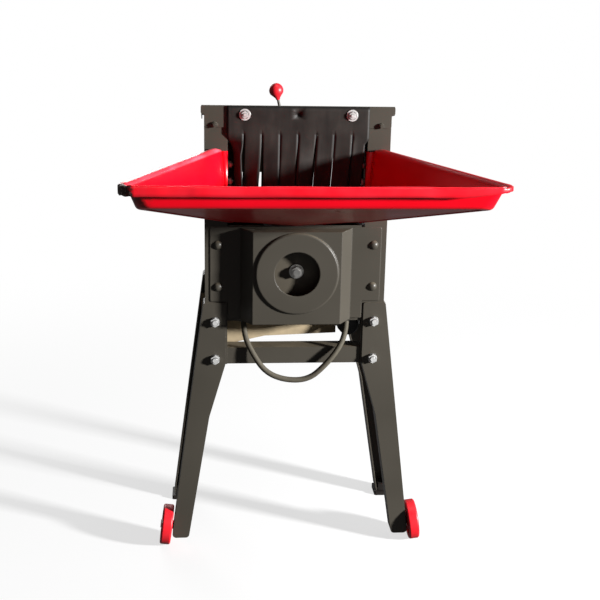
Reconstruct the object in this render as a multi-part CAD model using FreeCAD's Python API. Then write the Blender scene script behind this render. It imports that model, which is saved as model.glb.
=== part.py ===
import FreeCAD, Part
import math
import os

os.makedirs("parts", exist_ok=True)

# Household corn sheller. Millimetres, +Z up, the feed tray faces -Y, the cobs leave at +Y.
# Pieces are drawn with y = 0 on the front faces of the front posts and the floor at z = 0,
# and are moved along y as they are written, so that the origin lies under the middle of the box.

# Stock and clearances shared by the pieces
sheet = 1.5
steel = 3.0
overrun = 6.0
seat_gap = 0.3
run_fit = 0.05
soft_corner = 4.0

# Body: its half width and its depth
body_half = 182.0
body_depth = 260.0

# Lid
lid_height = 938.0
lid_overhang = 6.5
lid_half = body_half + lid_overhang
lid_sheet = 2.0
lid_slope = 9.0
lid_front_drop = 42.0
lid_ear_drop = 17.0
lid_rear_drop = 9.0
lid_rear_lap = 2.5
lid_end = body_depth + lid_rear_lap
lid_rear = lid_height - lid_end * math.tan(math.radians(lid_slope))
lid_screw_rise = 5.0

# Main shaft: its place under the lid
shaft_drop = 325.3
shaft_height = lid_height - shaft_drop

# Posts: four angles with the walls between them
post_flange = 45.0
post_drop = 200.7
post_foot = shaft_height - post_drop

# Legs: tapered pressed channels bolted outside the posts
leg_overlap = 131.0
leg_top = post_foot + leg_overlap
leg_spread = 75.0
leg_foot_half = body_half + leg_spread
leg_overlap_width = 42.0
leg_inner_half = body_half - leg_overlap_width
leg_knee_rise = 3.0
leg_knee = post_foot + leg_knee_rise
leg_waist_drop = 118.0
leg_waist = leg_knee - leg_waist_drop
leg_waist_inset = 8.0
leg_waist_half = body_half - leg_waist_inset
leg_foot_width = 35.0
leg_depth = 40.0
leg_corner = 8.0
leg_knee_radius = 45.0
front_leg_foot = 20.0
rear_leg_foot = 10.0
leg_bolt_inset = 20.0
leg_bolt_half = body_half - leg_bolt_inset
leg_bolt_rise = 12.0
leg_bolt_low = post_foot + leg_bolt_rise
leg_bolt_spacing = 80.0
leg_bolt_high = leg_bolt_low + leg_bolt_spacing

# Rubber feet under the rear legs
foot_margin = 4.0
foot_plug = 16.0

# Cross members: angles between the posts
rail_height = 34.5
rail_depth = 39.0

# Walls, side panels and cheeks round the drum
wall_drop = 108.7
wall_foot = shaft_height - wall_drop
wall_lip = 27.0
front_wall_height = 198.0
front_wall_top = wall_foot + front_wall_height
side_panel_rise = 8.0
side_panel_foot = wall_foot + side_panel_rise
bead_length = 160.0
bead_width = 14.0
bead_rise = 2.5
bead_pitch = 90.0
bead_rows = 3
cheek_rise = 147.3
cheek_top = shaft_height + cheek_rise
cheek_hem = 14.0
outlet_inset = 72.0
outlet_half = body_half - outlet_inset
outlet_rise = 102.3
outlet_sill = shaft_height + outlet_rise
outlet_drop = 36.4
outlet_head = lid_rear - outlet_drop
air_slot_width = 30.0
air_slot_height = 14.0

# Main shaft, drum and concave
shaft_radius = 10.0
shaft_mid_radius = 13.0
shaft_tip_radius = 7.0
shaft_front = -31.0
shaft_rear_reach = 31.0
shaft_rear = body_depth + shaft_rear_reach
drum_front = 32.0
drum_rear_gap = 32.0
drum_rear = body_depth - drum_rear_gap
drum_radius = 60.0
drum_wall = 4.0
drum_disc = 5.0
peg_reach = 88.0
peg_radius = 6.0
peg_rows = 4
pegs_in_row = 6
peg_twist = 60.0
peg_margin = 16.0
concave_radius = 98.0
concave_bar = 6.0
concave_bars = 15
concave_rib = 8.0
concave_ribs = 3
concave_rail = 8.0

# Flange bearings on the front and rear walls
bearing_flange = 80.0
bearing_plate = 4.0
bearing_boss = 26.0
bearing_length = 21.0
bearing_bolt_half = 30.0
bearing_bolt = 4.0
wall_shaft_hole = 22.0

# Fan and its cover
cover_half = 88.0
cover_root_half = 113.0
cover_flange_inset = 10.0
cover_flange_half = body_half - cover_flange_inset
cover_rise = 84.3
cover_top = shaft_height + cover_rise
cover_drop = 105.2
cover_foot = shaft_height - cover_drop
cover_flange_rise = 2.5
cover_flange_top = cover_top + cover_flange_rise
cover_flange_lift = 2.5
cover_flange_foot = cover_foot + cover_flange_lift
cover_reach = 37.0
cover_notch_inset = 46.0
cover_notch_half = body_half - cover_notch_inset
boss_radius = 83.0
boss_rise = 5.0
eye_radius = 45.0
boss_edge = 3.5
dome_bolt_inset = 25.7
dome_bolt_half = body_half - dome_bolt_inset
dome_bolt_rise = 49.9
dome_bolt_high = shaft_height + dome_bolt_rise
dome_bolt_drop = 36.3
dome_bolt_low = shaft_height - dome_bolt_drop
dome_radius = 9.5
dome_rise = 6.0
fan_disc_radius = 76.0
fan_disc_front = -16.0
fan_disc = 2.0
fan_blades = 8
fan_blade = 2.0
fan_blade_inner = 50.0
fan_blade_depth = 15.0
fan_blade_lean = 25.0
fan_hub_radius = 20.0
fan_hub_length = 14.0
nut_flange_radius = 14.5
nut_flange = 2.5
nut_radius = 11.5
nut_length = 9.0

# Feed tray: its half widths are taken where the front and side edges would meet unrounded
tray_reach = 423.0
tray_drop = 81.0
tray_height = lid_height - tray_drop
tray_root_inset = 17.5
tray_root_half = body_half - tray_root_inset
tray_spread = 168.5
tray_half = tray_root_half + tray_spread
tray_lip = 14.0
tray_lip_drop = 13.0
tray_corner = 14.0
tray_floor_corner = 24.0
tray_floor_setback = 20.0
tray_floor_front = tray_reach - tray_floor_setback
tray_floor_inset = 31.0
tray_floor_half = tray_half - tray_floor_inset
tray_depth = 37.0
tray_floor_height = tray_height - tray_depth
tray_floor_root_rise = 96.8
tray_floor_root = shaft_height + tray_floor_root_rise
tray_throat_inset = 45.3
tray_throat_half = body_half - tray_throat_inset
tray_wall_inset = 33.0
tray_wall_root_half = body_half - tray_wall_inset
tray_throat = 24.0
tray_tongue = 30.0
tray_tongue_drop = 7.0
tray_tongue_top = tray_height - tray_tongue_drop
tray_bracket_drop = 85.0
tray_bracket_foot = tray_height - tray_bracket_drop
tray_bracket_width = 34.0
tray_bolt_y = 18.0
tray_bolt_drop = 36.0
tray_bolt_high = tray_height - tray_bolt_drop
tray_bolt_spacing = 34.0
tray_bolt_low = tray_bolt_high - tray_bolt_spacing

# Rubber curtain in the feed opening
curtain_inset = 44.0
curtain_half = body_half - curtain_inset
curtain_drop = 1.0
curtain_top = lid_height - curtain_drop
curtain_foot_rise = 20.5
curtain_foot = tray_floor_root + curtain_foot_rise
curtain_rubber = 3.5
curtain_shoulder_rise = 9.0
curtain_shoulder = tray_height + curtain_shoulder_rise
curtain_strip_inset = 50.5
curtain_strip_half = body_half - curtain_strip_inset
curtain_slits = 7
curtain_edge_strip = 25.6
curtain_pitch = 2 * (curtain_strip_half - curtain_edge_strip) / (curtain_slits - 1)
curtain_slit = 2.4
curtain_band = 52.0
curtain_slit_top = curtain_top - curtain_band
curtain_bolt_inset = 78.0
curtain_bolt_half = body_half - curtain_bolt_inset
curtain_bolt_drop = 16.0
curtain_bolt_height = curtain_top - curtain_bolt_drop
curtain_spare_hole = 3.0
curtain_washer = 11.2
curtain_washer_thick = 1.6

# Kernel chute: a trough that falls to the left
chute_front = 46.0
chute_rear_gap = 46.0
chute_rear = body_depth - chute_rear_gap
chute_hem_reach = 34.0
chute_left_reach = 8.0
chute_left = body_half + chute_left_reach
chute_right = 90.0
chute_drop = 32.0
chute_floor = wall_foot - chute_drop
chute_fall = 0.22
chute_skirt_drop = 8.0
chute_skirt_right = chute_floor - chute_skirt_drop
chute_skirt_fall = 7.5
chute_skirt_left = chute_skirt_right - chute_skirt_fall
chute_skirt_span = 188.0
chute_hem_drop = 1.8
chute_hem = wall_foot - chute_hem_drop
chute_wall_drop = 12.7
chute_wall_top = shaft_height - chute_wall_drop
chute_wall_out = 107.0
chaff_slot_half = 55.0
chaff_slot_height = 12.0

# Capacitor beside the chute
can_inset = 66.5
can_x = body_half - can_inset
can_drop = 21.0
can_height = wall_foot - can_drop
can_radius = 21.5
can_front = 34.0
can_rear = 118.0
can_edge = 3.0
clip_width = 14.0
clip_front = 52.0
clip_wall = 1.5
clip_tab = 18.0

# Motor at the rear, on a shelf
belt_centres = 143.7
motor_height = shaft_height - belt_centres
motor_radius = 60.0
motor_gap = 39.0
motor_front = body_depth + motor_gap
motor_bell = 19.0
motor_length = 126.0
motor_fins = 22
motor_fin = 2.5
motor_fin_rise = 5.0
motor_bell_inset = 8.0
motor_shaft_radius = 9.5
motor_foot_out = 74.0
motor_foot_in = 34.0
motor_foot_length = 78.0
motor_foot = 9.0
motor_foot_bolt = 60.0
motor_foot_hole = 5.0
cowl_length = 46.0
cowl_wall = 1.5
cowl_edge = 10.0
cowl_slots = 10
cowl_slot_width = 6.0
cowl_slot_inner = 22.0
cowl_slot_outer = 50.0
shelf_plate = 4.0
shelf_half = 88.0
shelf_reach = 190.0
shelf_front_rise = 46.0
shelf_web_rise = 34.0
terminal_half = 38.0
terminal_depth = 58.0
terminal_rise = 34.0
terminal_lid = 5.0
rocker_length = 24.0
rocker_width = 13.0
rocker_rise = 3.2
rocker_tilt = 7.0

# Belt drive behind the rear wall
belt_gap = 2.0
belt_front = body_depth + belt_gap
pulley_width = 20.0
driven_radius = 60.0
driver_radius = 31.0
groove_depth = 11.0
groove_top = 13.6
groove_floor = 8.6
belt_top = 12.6
belt_floor = 8.2
belt_depth = 8.0
belt_sink = 1.5
driven_hub_radius = 20.0
driver_hub_radius = 15.0
hub_length = 8.0
pulley_holes = 5
pulley_hole = 8.0
pulley_hole_ring = 31.5
pulley_dish = 6.0
guard_clear = 14.0
guard_reach = 36.0
guard_rear = body_depth + guard_reach
guard_motor_hole = 30.0
guard_ear = 14.0
guard_ear_hole = 4.0

# Cob outlet: spout, gate and ball lever
spout_inset = 66.0
spout_half = body_half - spout_inset
spout_reach = 125.0
spout_rear = body_depth + spout_reach
spout_slope = 10.0
spout_wall = 46.0
spout_hem = 18.0
gate_gap = 14.0
gate_y = body_depth + gate_gap
gate_rise = 16.0
gate_height = outlet_head + gate_rise
gate_shaft_radius = 5.0
gate_shaft_inset = 45.0
gate_shaft_half = body_half - gate_shaft_inset
gate_inset = 73.0
gate_half = body_half - gate_inset
gate_sill_gap = 4.0
gate_length = gate_height - outlet_sill - gate_sill_gap
gate_lip = 10.0
gate_open = 35.0
gate_lug_inset = 51.0
gate_lug_half = body_half - gate_lug_inset
gate_lug_width = 34.0
gate_lug_height = 40.0
gate_lug = 2.5
gate_lug_reach = 26.0
lever_foot_x = -12.0
lever_top_x = -26.0
lever_rise = 2.5
lever_top = lid_height + lever_rise
lever_radius = 3.0
knob_radius = 15.5
knob_neck = 5.0

# Wheels on the front legs
wheel_radius = 42.5
wheel_width = 22.0
wheel_edge = 4.0
wheel_web = 7.0
wheel_rim = 8.0
wheel_hub = 15.0
wheel_ribs = 6
wheel_rib = 4.0
wheel_spacer = 3.0
wheel_recess = 6.5
axle_radius = 5.0
axle_collar = 9.0
axle_y = 17.0

# Hanging cable with its glands, and the route of its middle line
cable_diameter = 11.5
gland_radius = 8.5
gland_hex = 10.0
gland_length = 12.0
gland_y = 14.0
cable_turns = [
    (-103.5, 14.0, 4.5),
    (-102.5, 6.0, 32.0),
    (-87.0, -10.0, 64.0),
    (-60.0, -19.0, 104.0),
    (-17.0, -20.0, 121.5),
    (30.0, -19.0, 120.0),
    (63.0, -18.0, 90.0),
    (90.0, -11.0, 58.0),
    (105.5, 4.0, 29.0),
    (107.5, 14.0, 4.5),
]
cable_route = [(x, y, wall_foot - drop) for x, y, drop in cable_turns]

# Fasteners: hex bolts of the frame, small hex screws
bolt_radius = 5.0
bolt_hex = 9.6
bolt_head = 6.5
bolt_washer = 9.8
bolt_washer_thick = 2.0
screw_radius = 3.0
screw_hex = 5.5
screw_head = 4.0
nut_hex = 7.2
nut_height = 5.0
small_washer = 8.0

# The box ends behind at the motor's cowl, and its middle gives the origin
rear_end = motor_front + motor_length + cowl_length
origin_y = (rear_end - tray_reach) / 2

panel_half = body_half - steel


def vec(x, y, z):
    return FreeCAD.Vector(x, y, z)


def box(x0, x1, y0, y1, z0, z1):
    """A block between two x, two y and two z faces."""
    return Part.makeBox(x1 - x0, y1 - y0, z1 - z0, vec(x0, y0, z0))


def rod(radius, start, end):
    """A round bar from one point to another."""
    return Part.makeCylinder(radius, (end - start).Length, start, end - start)


def ring(outer, inner, start, end):
    """A tube from one point to another."""
    along = end - start
    along.normalize()
    core = rod(inner, start - along * overrun, end + along * overrun)
    return rod(outer, start, end).cut(core)


def hex_bar(across_corners, start, end):
    """A six-sided bar from one point to another, by the radius of its corners."""
    along = end - start
    side = vec(0, 0, 1) if abs(along.z) < along.Length / 2 else vec(1, 0, 0)
    side = side - along * (side.dot(along) / along.dot(along))
    side.normalize()
    other = along.cross(side)
    other.normalize()
    corners = []
    for i in range(6):
        a = math.pi * i / 3
        corners.append(start + side * (across_corners * math.cos(a)) + other * (across_corners * math.sin(a)))
    corners.append(corners[0])
    return Part.Face(Part.makePolygon(corners)).extrude(along)


def outline(points, radii, place):
    """A closed wire through flat points, each corner rounded by its radius, laid in space by place."""
    edges = []
    last = None
    first = None
    count = len(points)
    for i in range(count):
        p = FreeCAD.Vector(points[i][0], points[i][1], 0)
        a = FreeCAD.Vector(points[i - 1][0], points[i - 1][1], 0) - p
        b = FreeCAD.Vector(points[(i + 1) % count][0], points[(i + 1) % count][1], 0) - p
        a.normalize()
        b.normalize()
        radius = radii[i]
        if radius > 0:
            half = math.acos(max(-1.0, min(1.0, a.dot(b)))) / 2
            reach = radius / math.tan(half)
            start = p + a * reach
            end = p + b * reach
            middle = a + b
            middle.normalize()
            top = p + middle * (radius / math.sin(half) - radius)
            arc = Part.Arc(place(start.x, start.y), place(top.x, top.y), place(end.x, end.y)).toShape()
        else:
            start = p
            end = p
            arc = None
        if last is None:
            first = start
        else:
            edges.append(Part.LineSegment(place(last.x, last.y), place(start.x, start.y)).toShape())
        if arc:
            edges.append(arc)
        last = end
    edges.append(Part.LineSegment(place(last.x, last.y), place(first.x, first.y)).toShape())
    return Part.Wire(edges)


def plate_xz(points, y0, y1, radii=None):
    """A plate with its outline in x and z, from y0 to y1."""
    wire = outline(points, radii or [0] * len(points), lambda x, z: vec(x, y0, z))
    return Part.Face(wire).extrude(vec(0, y1 - y0, 0))


def plate_yz(points, x0, x1, radii=None):
    """A plate with its outline in y and z, from x0 to x1."""
    wire = outline(points, radii or [0] * len(points), lambda y, z: vec(x0, y, z))
    return Part.Face(wire).extrude(vec(x1 - x0, 0, 0))


def plate_xy(points, z0, z1, radii=None):
    """A plate with its outline in x and y, from z0 to z1."""
    wire = outline(points, radii or [0] * len(points), lambda x, y: vec(x, y, z0))
    return Part.Face(wire).extrude(vec(0, 0, z1 - z0))


def turned(profile, axis_point, axis):
    """A solid of revolution from points given as (along the axis, radius)."""
    axis.normalize()
    side = vec(0, 0, 1) if abs(axis.z) < 0.5 else vec(0, 1, 0)
    side = side - axis * side.dot(axis)
    side.normalize()
    points = [axis_point + axis * a + side * r for a, r in profile]
    points.append(points[0])
    return Part.Face(Part.makePolygon(points)).revolve(axis_point, axis, 360)


def mirrored(shape):
    """The same piece on the other side of the machine."""
    return shape.mirror(vec(0, 0, 0), vec(1, 0, 0))


def joined(shapes):
    """One solid from pieces that meet."""
    body = shapes[0].multiFuse(shapes[1:])
    return body.removeSplitter()


def group(shapes):
    """Separate solids of like pieces that share one node."""
    return Part.makeCompound([solid for shape in shapes for solid in shape.Solids])


def write(name, shape):
    placed = shape.copy()
    placed.translate(vec(0, -origin_y, 0))
    placed.exportStep("parts/" + name + ".step")


# Places worked out from the sizes above
def roof(y):
    """Height of the lid's upper face."""
    return lid_height - y * math.tan(math.radians(lid_slope))


def leg_outer(z):
    """Outer edge of a leg at a height."""
    top_half = body_half + seat_gap + steel
    return top_half + (leg_foot_half - top_half) * (leg_top - z) / leg_top


leg_lean = math.atan((leg_foot_half - body_half - seat_gap - steel) / leg_top)
axle_line = vec(math.cos(leg_lean), 0, math.sin(leg_lean))
wheel_rise = (
    (wheel_radius - wheel_edge) * math.cos(leg_lean)
    + (wheel_width / 2 - wheel_edge) * math.sin(leg_lean)
    + wheel_edge
)
wheel_off = wheel_spacer + wheel_width / 2
axle_root_z = wheel_rise - wheel_off * math.sin(leg_lean)
axle_root = vec(leg_outer(axle_root_z), axle_y, axle_root_z)
wheel_centre = axle_root + axle_line * wheel_off

shaft_axis = vec(0, 1, 0)


def on_shaft(y):
    return vec(0, y, shaft_height)


def on_motor(y):
    return vec(0, y, motor_height)


def chute_line(x):
    """Height of the chute floor's upper face."""
    return chute_floor + chute_fall * x


# Posts: plain angles, one flange on the face and one on the side
def post(front):
    top = roof(post_flange if front else body_depth) - lid_sheet - seat_gap
    x0 = body_half - post_flange
    if front:
        face = box(x0, body_half, 0, steel, post_foot, top)
        side = box(panel_half, body_half, 0, post_flange, post_foot, top)
    else:
        face = box(x0, body_half, body_depth - steel, body_depth, post_foot, top)
        side = box(panel_half, body_half, body_depth - post_flange, body_depth, post_foot, top)
    body = joined([face, side])
    y0 = -overrun if front else body_depth - steel - overrun
    for z in (leg_bolt_high, leg_bolt_low):
        body = body.cut(
            rod(
                bolt_radius + run_fit, vec(leg_bolt_half, y0, z), vec(
                    leg_bolt_half, y0 + post_flange, z)))
    if front:
        for z in (dome_bolt_high, dome_bolt_low):
            hole = rod(
                bolt_radius + run_fit, vec(dome_bolt_half, y0, z),
                vec(dome_bolt_half, y0 + post_flange, z))
            body = body.cut(hole)
        z = lid_height - lid_front_drop + lid_screw_rise
        body = body.cut(
            rod(
                screw_radius + run_fit, vec(leg_bolt_half, y0, z),
                vec(leg_bolt_half, y0 + post_flange, z)))
    return body


for front, word in ((True, "front"), (False, "rear")):
    right_post = post(front)
    write("post_" + word + "_right", right_post)
    write("post_" + word + "_left", mirrored(right_post))


# Legs: a tapered web with a flange bent back along each long edge
def leg(front):
    foot = front_leg_foot if front else rear_leg_foot
    waist_slope = (leg_outer(0) - leg_foot_width - leg_waist_half) / leg_waist

    def inner(z):
        return leg_waist_half + (leg_waist - z) * waist_slope

    def web(inset, top, bottom):
        return [
            (leg_outer(top) - inset, top),
            (leg_inner_half + inset, top),
            (leg_inner_half + inset, leg_knee),
            (leg_waist_half + inset, leg_waist),
            (inner(bottom) + inset, bottom),
            (leg_outer(bottom) - inset, bottom),
        ]

    y_face = -steel if front else body_depth + steel
    y_back = y_face + leg_depth if front else y_face - leg_depth
    y_skin = 0 if front else body_depth
    knees = [0, 0, leg_knee_radius, leg_knee_radius, 0, 0]
    rounded = [leg_corner / 2, leg_corner / 2, leg_knee_radius, leg_knee_radius, leg_corner, leg_corner]
    outer = plate_xz(web(0, leg_top, foot), y_face, y_back, rounded)
    core = plate_xz(
        web(steel, leg_top + overrun, foot - overrun), y_skin, y_back + (y_back - y_skin), knees)
    body = outer.cut(core)
    flange_end = post_foot - overrun
    low, high = sorted((y_skin, y_back + (y_back - y_skin)))
    body = body.cut(
        box(leg_inner_half - overrun, leg_waist_half, low, high, flange_end, leg_top + overrun))
    for z in (leg_bolt_high, leg_bolt_low):
        hole = rod(
            bolt_radius + run_fit, vec(leg_bolt_half, y_face - overrun, z),
            vec(leg_bolt_half, y_face + overrun, z))
        body = body.cut(hole)
    if front:
        body = body.cut(
            rod(axle_radius + run_fit, axle_root - axle_line * overrun, axle_root + axle_line * overrun))
    return body


front_leg = leg(True)
rear_leg = leg(False)
write("leg_front_right", front_leg)
write("leg_front_left", mirrored(front_leg))
write("leg_rear_right", rear_leg)
write("leg_rear_left", mirrored(rear_leg))

# Rubber feet: a pad with a plug that fills the end of each rear leg
foot_out = leg_outer(rear_leg_foot)
foot_in = foot_out - leg_foot_width
foot_y1 = body_depth + steel
foot_y0 = foot_y1 - leg_depth
pad_points = [
    (foot_in - foot_margin, foot_y0 - foot_margin),
    (foot_out + foot_margin, foot_y0 - foot_margin),
    (foot_out + foot_margin, foot_y1 + foot_margin),
    (foot_in - foot_margin, foot_y1 + foot_margin),
]
foot_pad = plate_xy(pad_points, 0, rear_leg_foot - seat_gap, [foot_margin] * 4)
plug_gap = steel + foot_margin / 2
foot_plug_block = box(
    foot_in + plug_gap, foot_out - plug_gap - seat_gap, foot_y0 + foot_margin, body_depth - seat_gap,
    rear_leg_foot - overrun, rear_leg_foot + foot_plug)
rear_foot = joined([foot_pad, foot_plug_block])
write("rear_feet", group([rear_foot, mirrored(rear_foot)]))


# Cross members: angles behind the posts' flanges
def cross_member(front):
    half = panel_half - seat_gap
    top = post_foot + rail_height
    if front:
        face = box(-half, half, steel, 2 * steel, post_foot, top)
        shelf = box(-half, half, steel, steel + rail_depth, top - steel, top)
    else:
        y1 = body_depth - steel
        face = box(-half, half, y1 - steel, y1, post_foot, top)
        shelf = box(-half, half, y1 - rail_depth, y1, top - steel, top)
    body = joined([face, shelf])
    y0 = -overrun if front else body_depth - rail_depth / 2
    for side in (-1, 1):
        x = side * leg_bolt_half
        body = body.cut(
            rod(bolt_radius + run_fit, vec(x, y0, leg_bolt_low), vec(x, y0 + rail_depth, leg_bolt_low)))
    return body


write("cross_member_front", cross_member(True))
write("cross_member_rear", cross_member(False))


# Walls at the two ends of the drum, hemmed at the bottom
bearing_holes = [
    (x, z) for x in (-bearing_bolt_half, bearing_bolt_half) for z in (
        -bearing_bolt_half, bearing_bolt_half)]


def wall(front):
    half = panel_half - seat_gap
    if front:
        y0 = steel
        y1 = steel + sheet
        top = front_wall_top
        hem = box(-half, half, y0, y0 + wall_lip, wall_foot, wall_foot + sheet)
    else:
        y1 = body_depth - steel
        y0 = y1 - sheet
        top = roof(body_depth) - lid_sheet - seat_gap
        hem = box(-half, half, y1 - wall_lip, y1, wall_foot, wall_foot + sheet)
    body = joined([box(-half, half, y0, y1, wall_foot, top), hem])
    cut_y0 = y0 - overrun
    cut_y1 = y1 + overrun
    notch_top = leg_bolt_high + bolt_hex + steel
    for side in (-1, 1):
        x0, x1 = sorted((side * (leg_bolt_half - bolt_hex - steel), side * body_half))
        body = body.cut(box(x0, x1, y0 - wall_lip, y1 + wall_lip, wall_foot - overrun, notch_top))
    body = body.cut(rod(wall_shaft_hole, on_shaft(cut_y0), on_shaft(cut_y1)))
    for x, z in bearing_holes:
        body = body.cut(
            rod(
                bearing_bolt + run_fit, vec(x, cut_y0, shaft_height + z),
                vec(x, cut_y1, shaft_height + z)))
    if front:
        for side in (-1, 1):
            for z in (dome_bolt_high, dome_bolt_low):
                x = side * dome_bolt_half
                body = body.cut(rod(bolt_radius + run_fit, vec(x, cut_y0, z), vec(x, cut_y1, z)))
            middle = side * (concave_radius + air_slot_width / 2)
            z0 = wall_foot + air_slot_height
            slot = box(
                middle - air_slot_width / 2, middle + air_slot_width / 2, cut_y0, cut_y1, z0,
                z0 + air_slot_height)
            body = body.cut(slot)
        for x in (cable_route[0][0], cable_route[-1][0]):
            body = body.cut(
                rod(
                    gland_radius + run_fit, vec(x, gland_y, wall_foot - overrun),
                    vec(x, gland_y, wall_foot + overrun)))
    else:
        body = body.cut(box(-outlet_half, outlet_half, cut_y0, cut_y1, outlet_sill, outlet_head))
    return body


write("front_wall", wall(True))
write("rear_wall", wall(False))


# Side panels inside the posts, stiffened by pressed beads
def side_panel():
    y0 = steel + sheet + seat_gap
    y1 = body_depth - steel - sheet - seat_gap
    clear = lid_sheet + seat_gap
    points = [
        (y0, side_panel_foot), (y1, side_panel_foot), (y1, roof(y1) - clear), (y0, roof(y0) - clear)]
    body = plate_yz(points, panel_half - sheet, panel_half)

    def bead(inset, x0, x1):
        half_length = bead_length / 2 - inset
        half_width = bead_width / 2 - inset
        middle = body_depth / 2
        corners = [(middle - half_length, z - half_width), (middle + half_length, z - half_width),
                   (middle + half_length, z + half_width), (middle - half_length, z + half_width)]
        return plate_yz(corners, x0, x1, [half_width - seat_gap] * 4)

    for row in range(bead_rows):
        z = side_panel_foot + bead_pitch * (row + 1)
        body = joined([body, bead(0, panel_half - sheet / 2, panel_half + bead_rise)])
        body = body.cut(bead(sheet, panel_half - sheet - overrun, panel_half + bead_rise - sheet))
    return body


right_panel = side_panel()
write("side_panel_right", right_panel)
write("side_panel_left", mirrored(right_panel))


# Cheeks: sloped plates that lead the ears from the side panels to the drum
def cheek():
    y0 = steel + sheet + seat_gap
    y1 = body_depth - steel - sheet - seat_gap
    top_x = panel_half - sheet - seat_gap
    low_x = concave_radius + concave_rail
    low_z = shaft_height + seat_gap
    points = [
        (low_x, low_z),
        (low_x + sheet, low_z),
        (top_x, cheek_top - sheet),
        (top_x, cheek_top + cheek_hem),
        (top_x - sheet, cheek_top + cheek_hem),
        (top_x - sheet, cheek_top),
    ]
    return plate_xz(points, y0, y1)


right_cheek = cheek()
write("cheek_right", right_cheek)
write("cheek_left", mirrored(right_cheek))


# Lid: a sloping roof whose front flange hides the tops of the posts
def lid():
    slope = math.tan(math.radians(lid_slope))
    rear_z = roof(lid_end)
    front_face = plate_xz(
        [
            (-lid_half, lid_height - lid_ear_drop), (-body_half, lid_height - lid_ear_drop),
            (-body_half, lid_height - lid_front_drop), (body_half, lid_height - lid_front_drop),
            (body_half, lid_height - lid_ear_drop), (lid_half, lid_height - lid_ear_drop),
            (lid_half, lid_height), (-lid_half, lid_height),
        ],
        -lid_sheet, 0, [
            soft_corner, 0, soft_corner, soft_corner, 0, soft_corner, soft_corner, soft_corner])
    roof_side = [(-lid_sheet, lid_height - lid_sheet), (0, lid_height - lid_sheet),
                 (lid_end, rear_z - lid_sheet), (lid_end, rear_z), (
                     0, lid_height), (-lid_sheet, lid_height)]
    edge = lid_half - soft_corner / 4
    roof_sheet = plate_yz(roof_side, -edge, edge)
    skirt_side = [(-lid_sheet, lid_height - lid_ear_drop), (
        lid_end, rear_z - lid_ear_drop), (lid_end, rear_z),
                  (0, lid_height), (-lid_sheet, lid_height)]
    skirts = [plate_yz(skirt_side, edge - lid_sheet, edge), plate_yz(skirt_side, -edge, lid_sheet - edge)]
    rear_hem = box(-edge, edge, lid_end - lid_sheet, lid_end, rear_z - lid_rear_drop, rear_z - slope)
    body = joined([front_face, roof_sheet, rear_hem] + skirts)
    for side in (-1, 1):
        x = side * curtain_bolt_half
        z = curtain_bolt_height
        body = body.cut(rod(screw_radius + run_fit, vec(x, -lid_sheet - overrun, z), vec(x, overrun, z)))
        x = side * leg_bolt_half
        z = lid_height - lid_front_drop + lid_screw_rise
        body = body.cut(rod(screw_radius + run_fit, vec(x, -lid_sheet - overrun, z), vec(x, overrun, z)))
    return body


write("roof_lid", lid())


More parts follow.
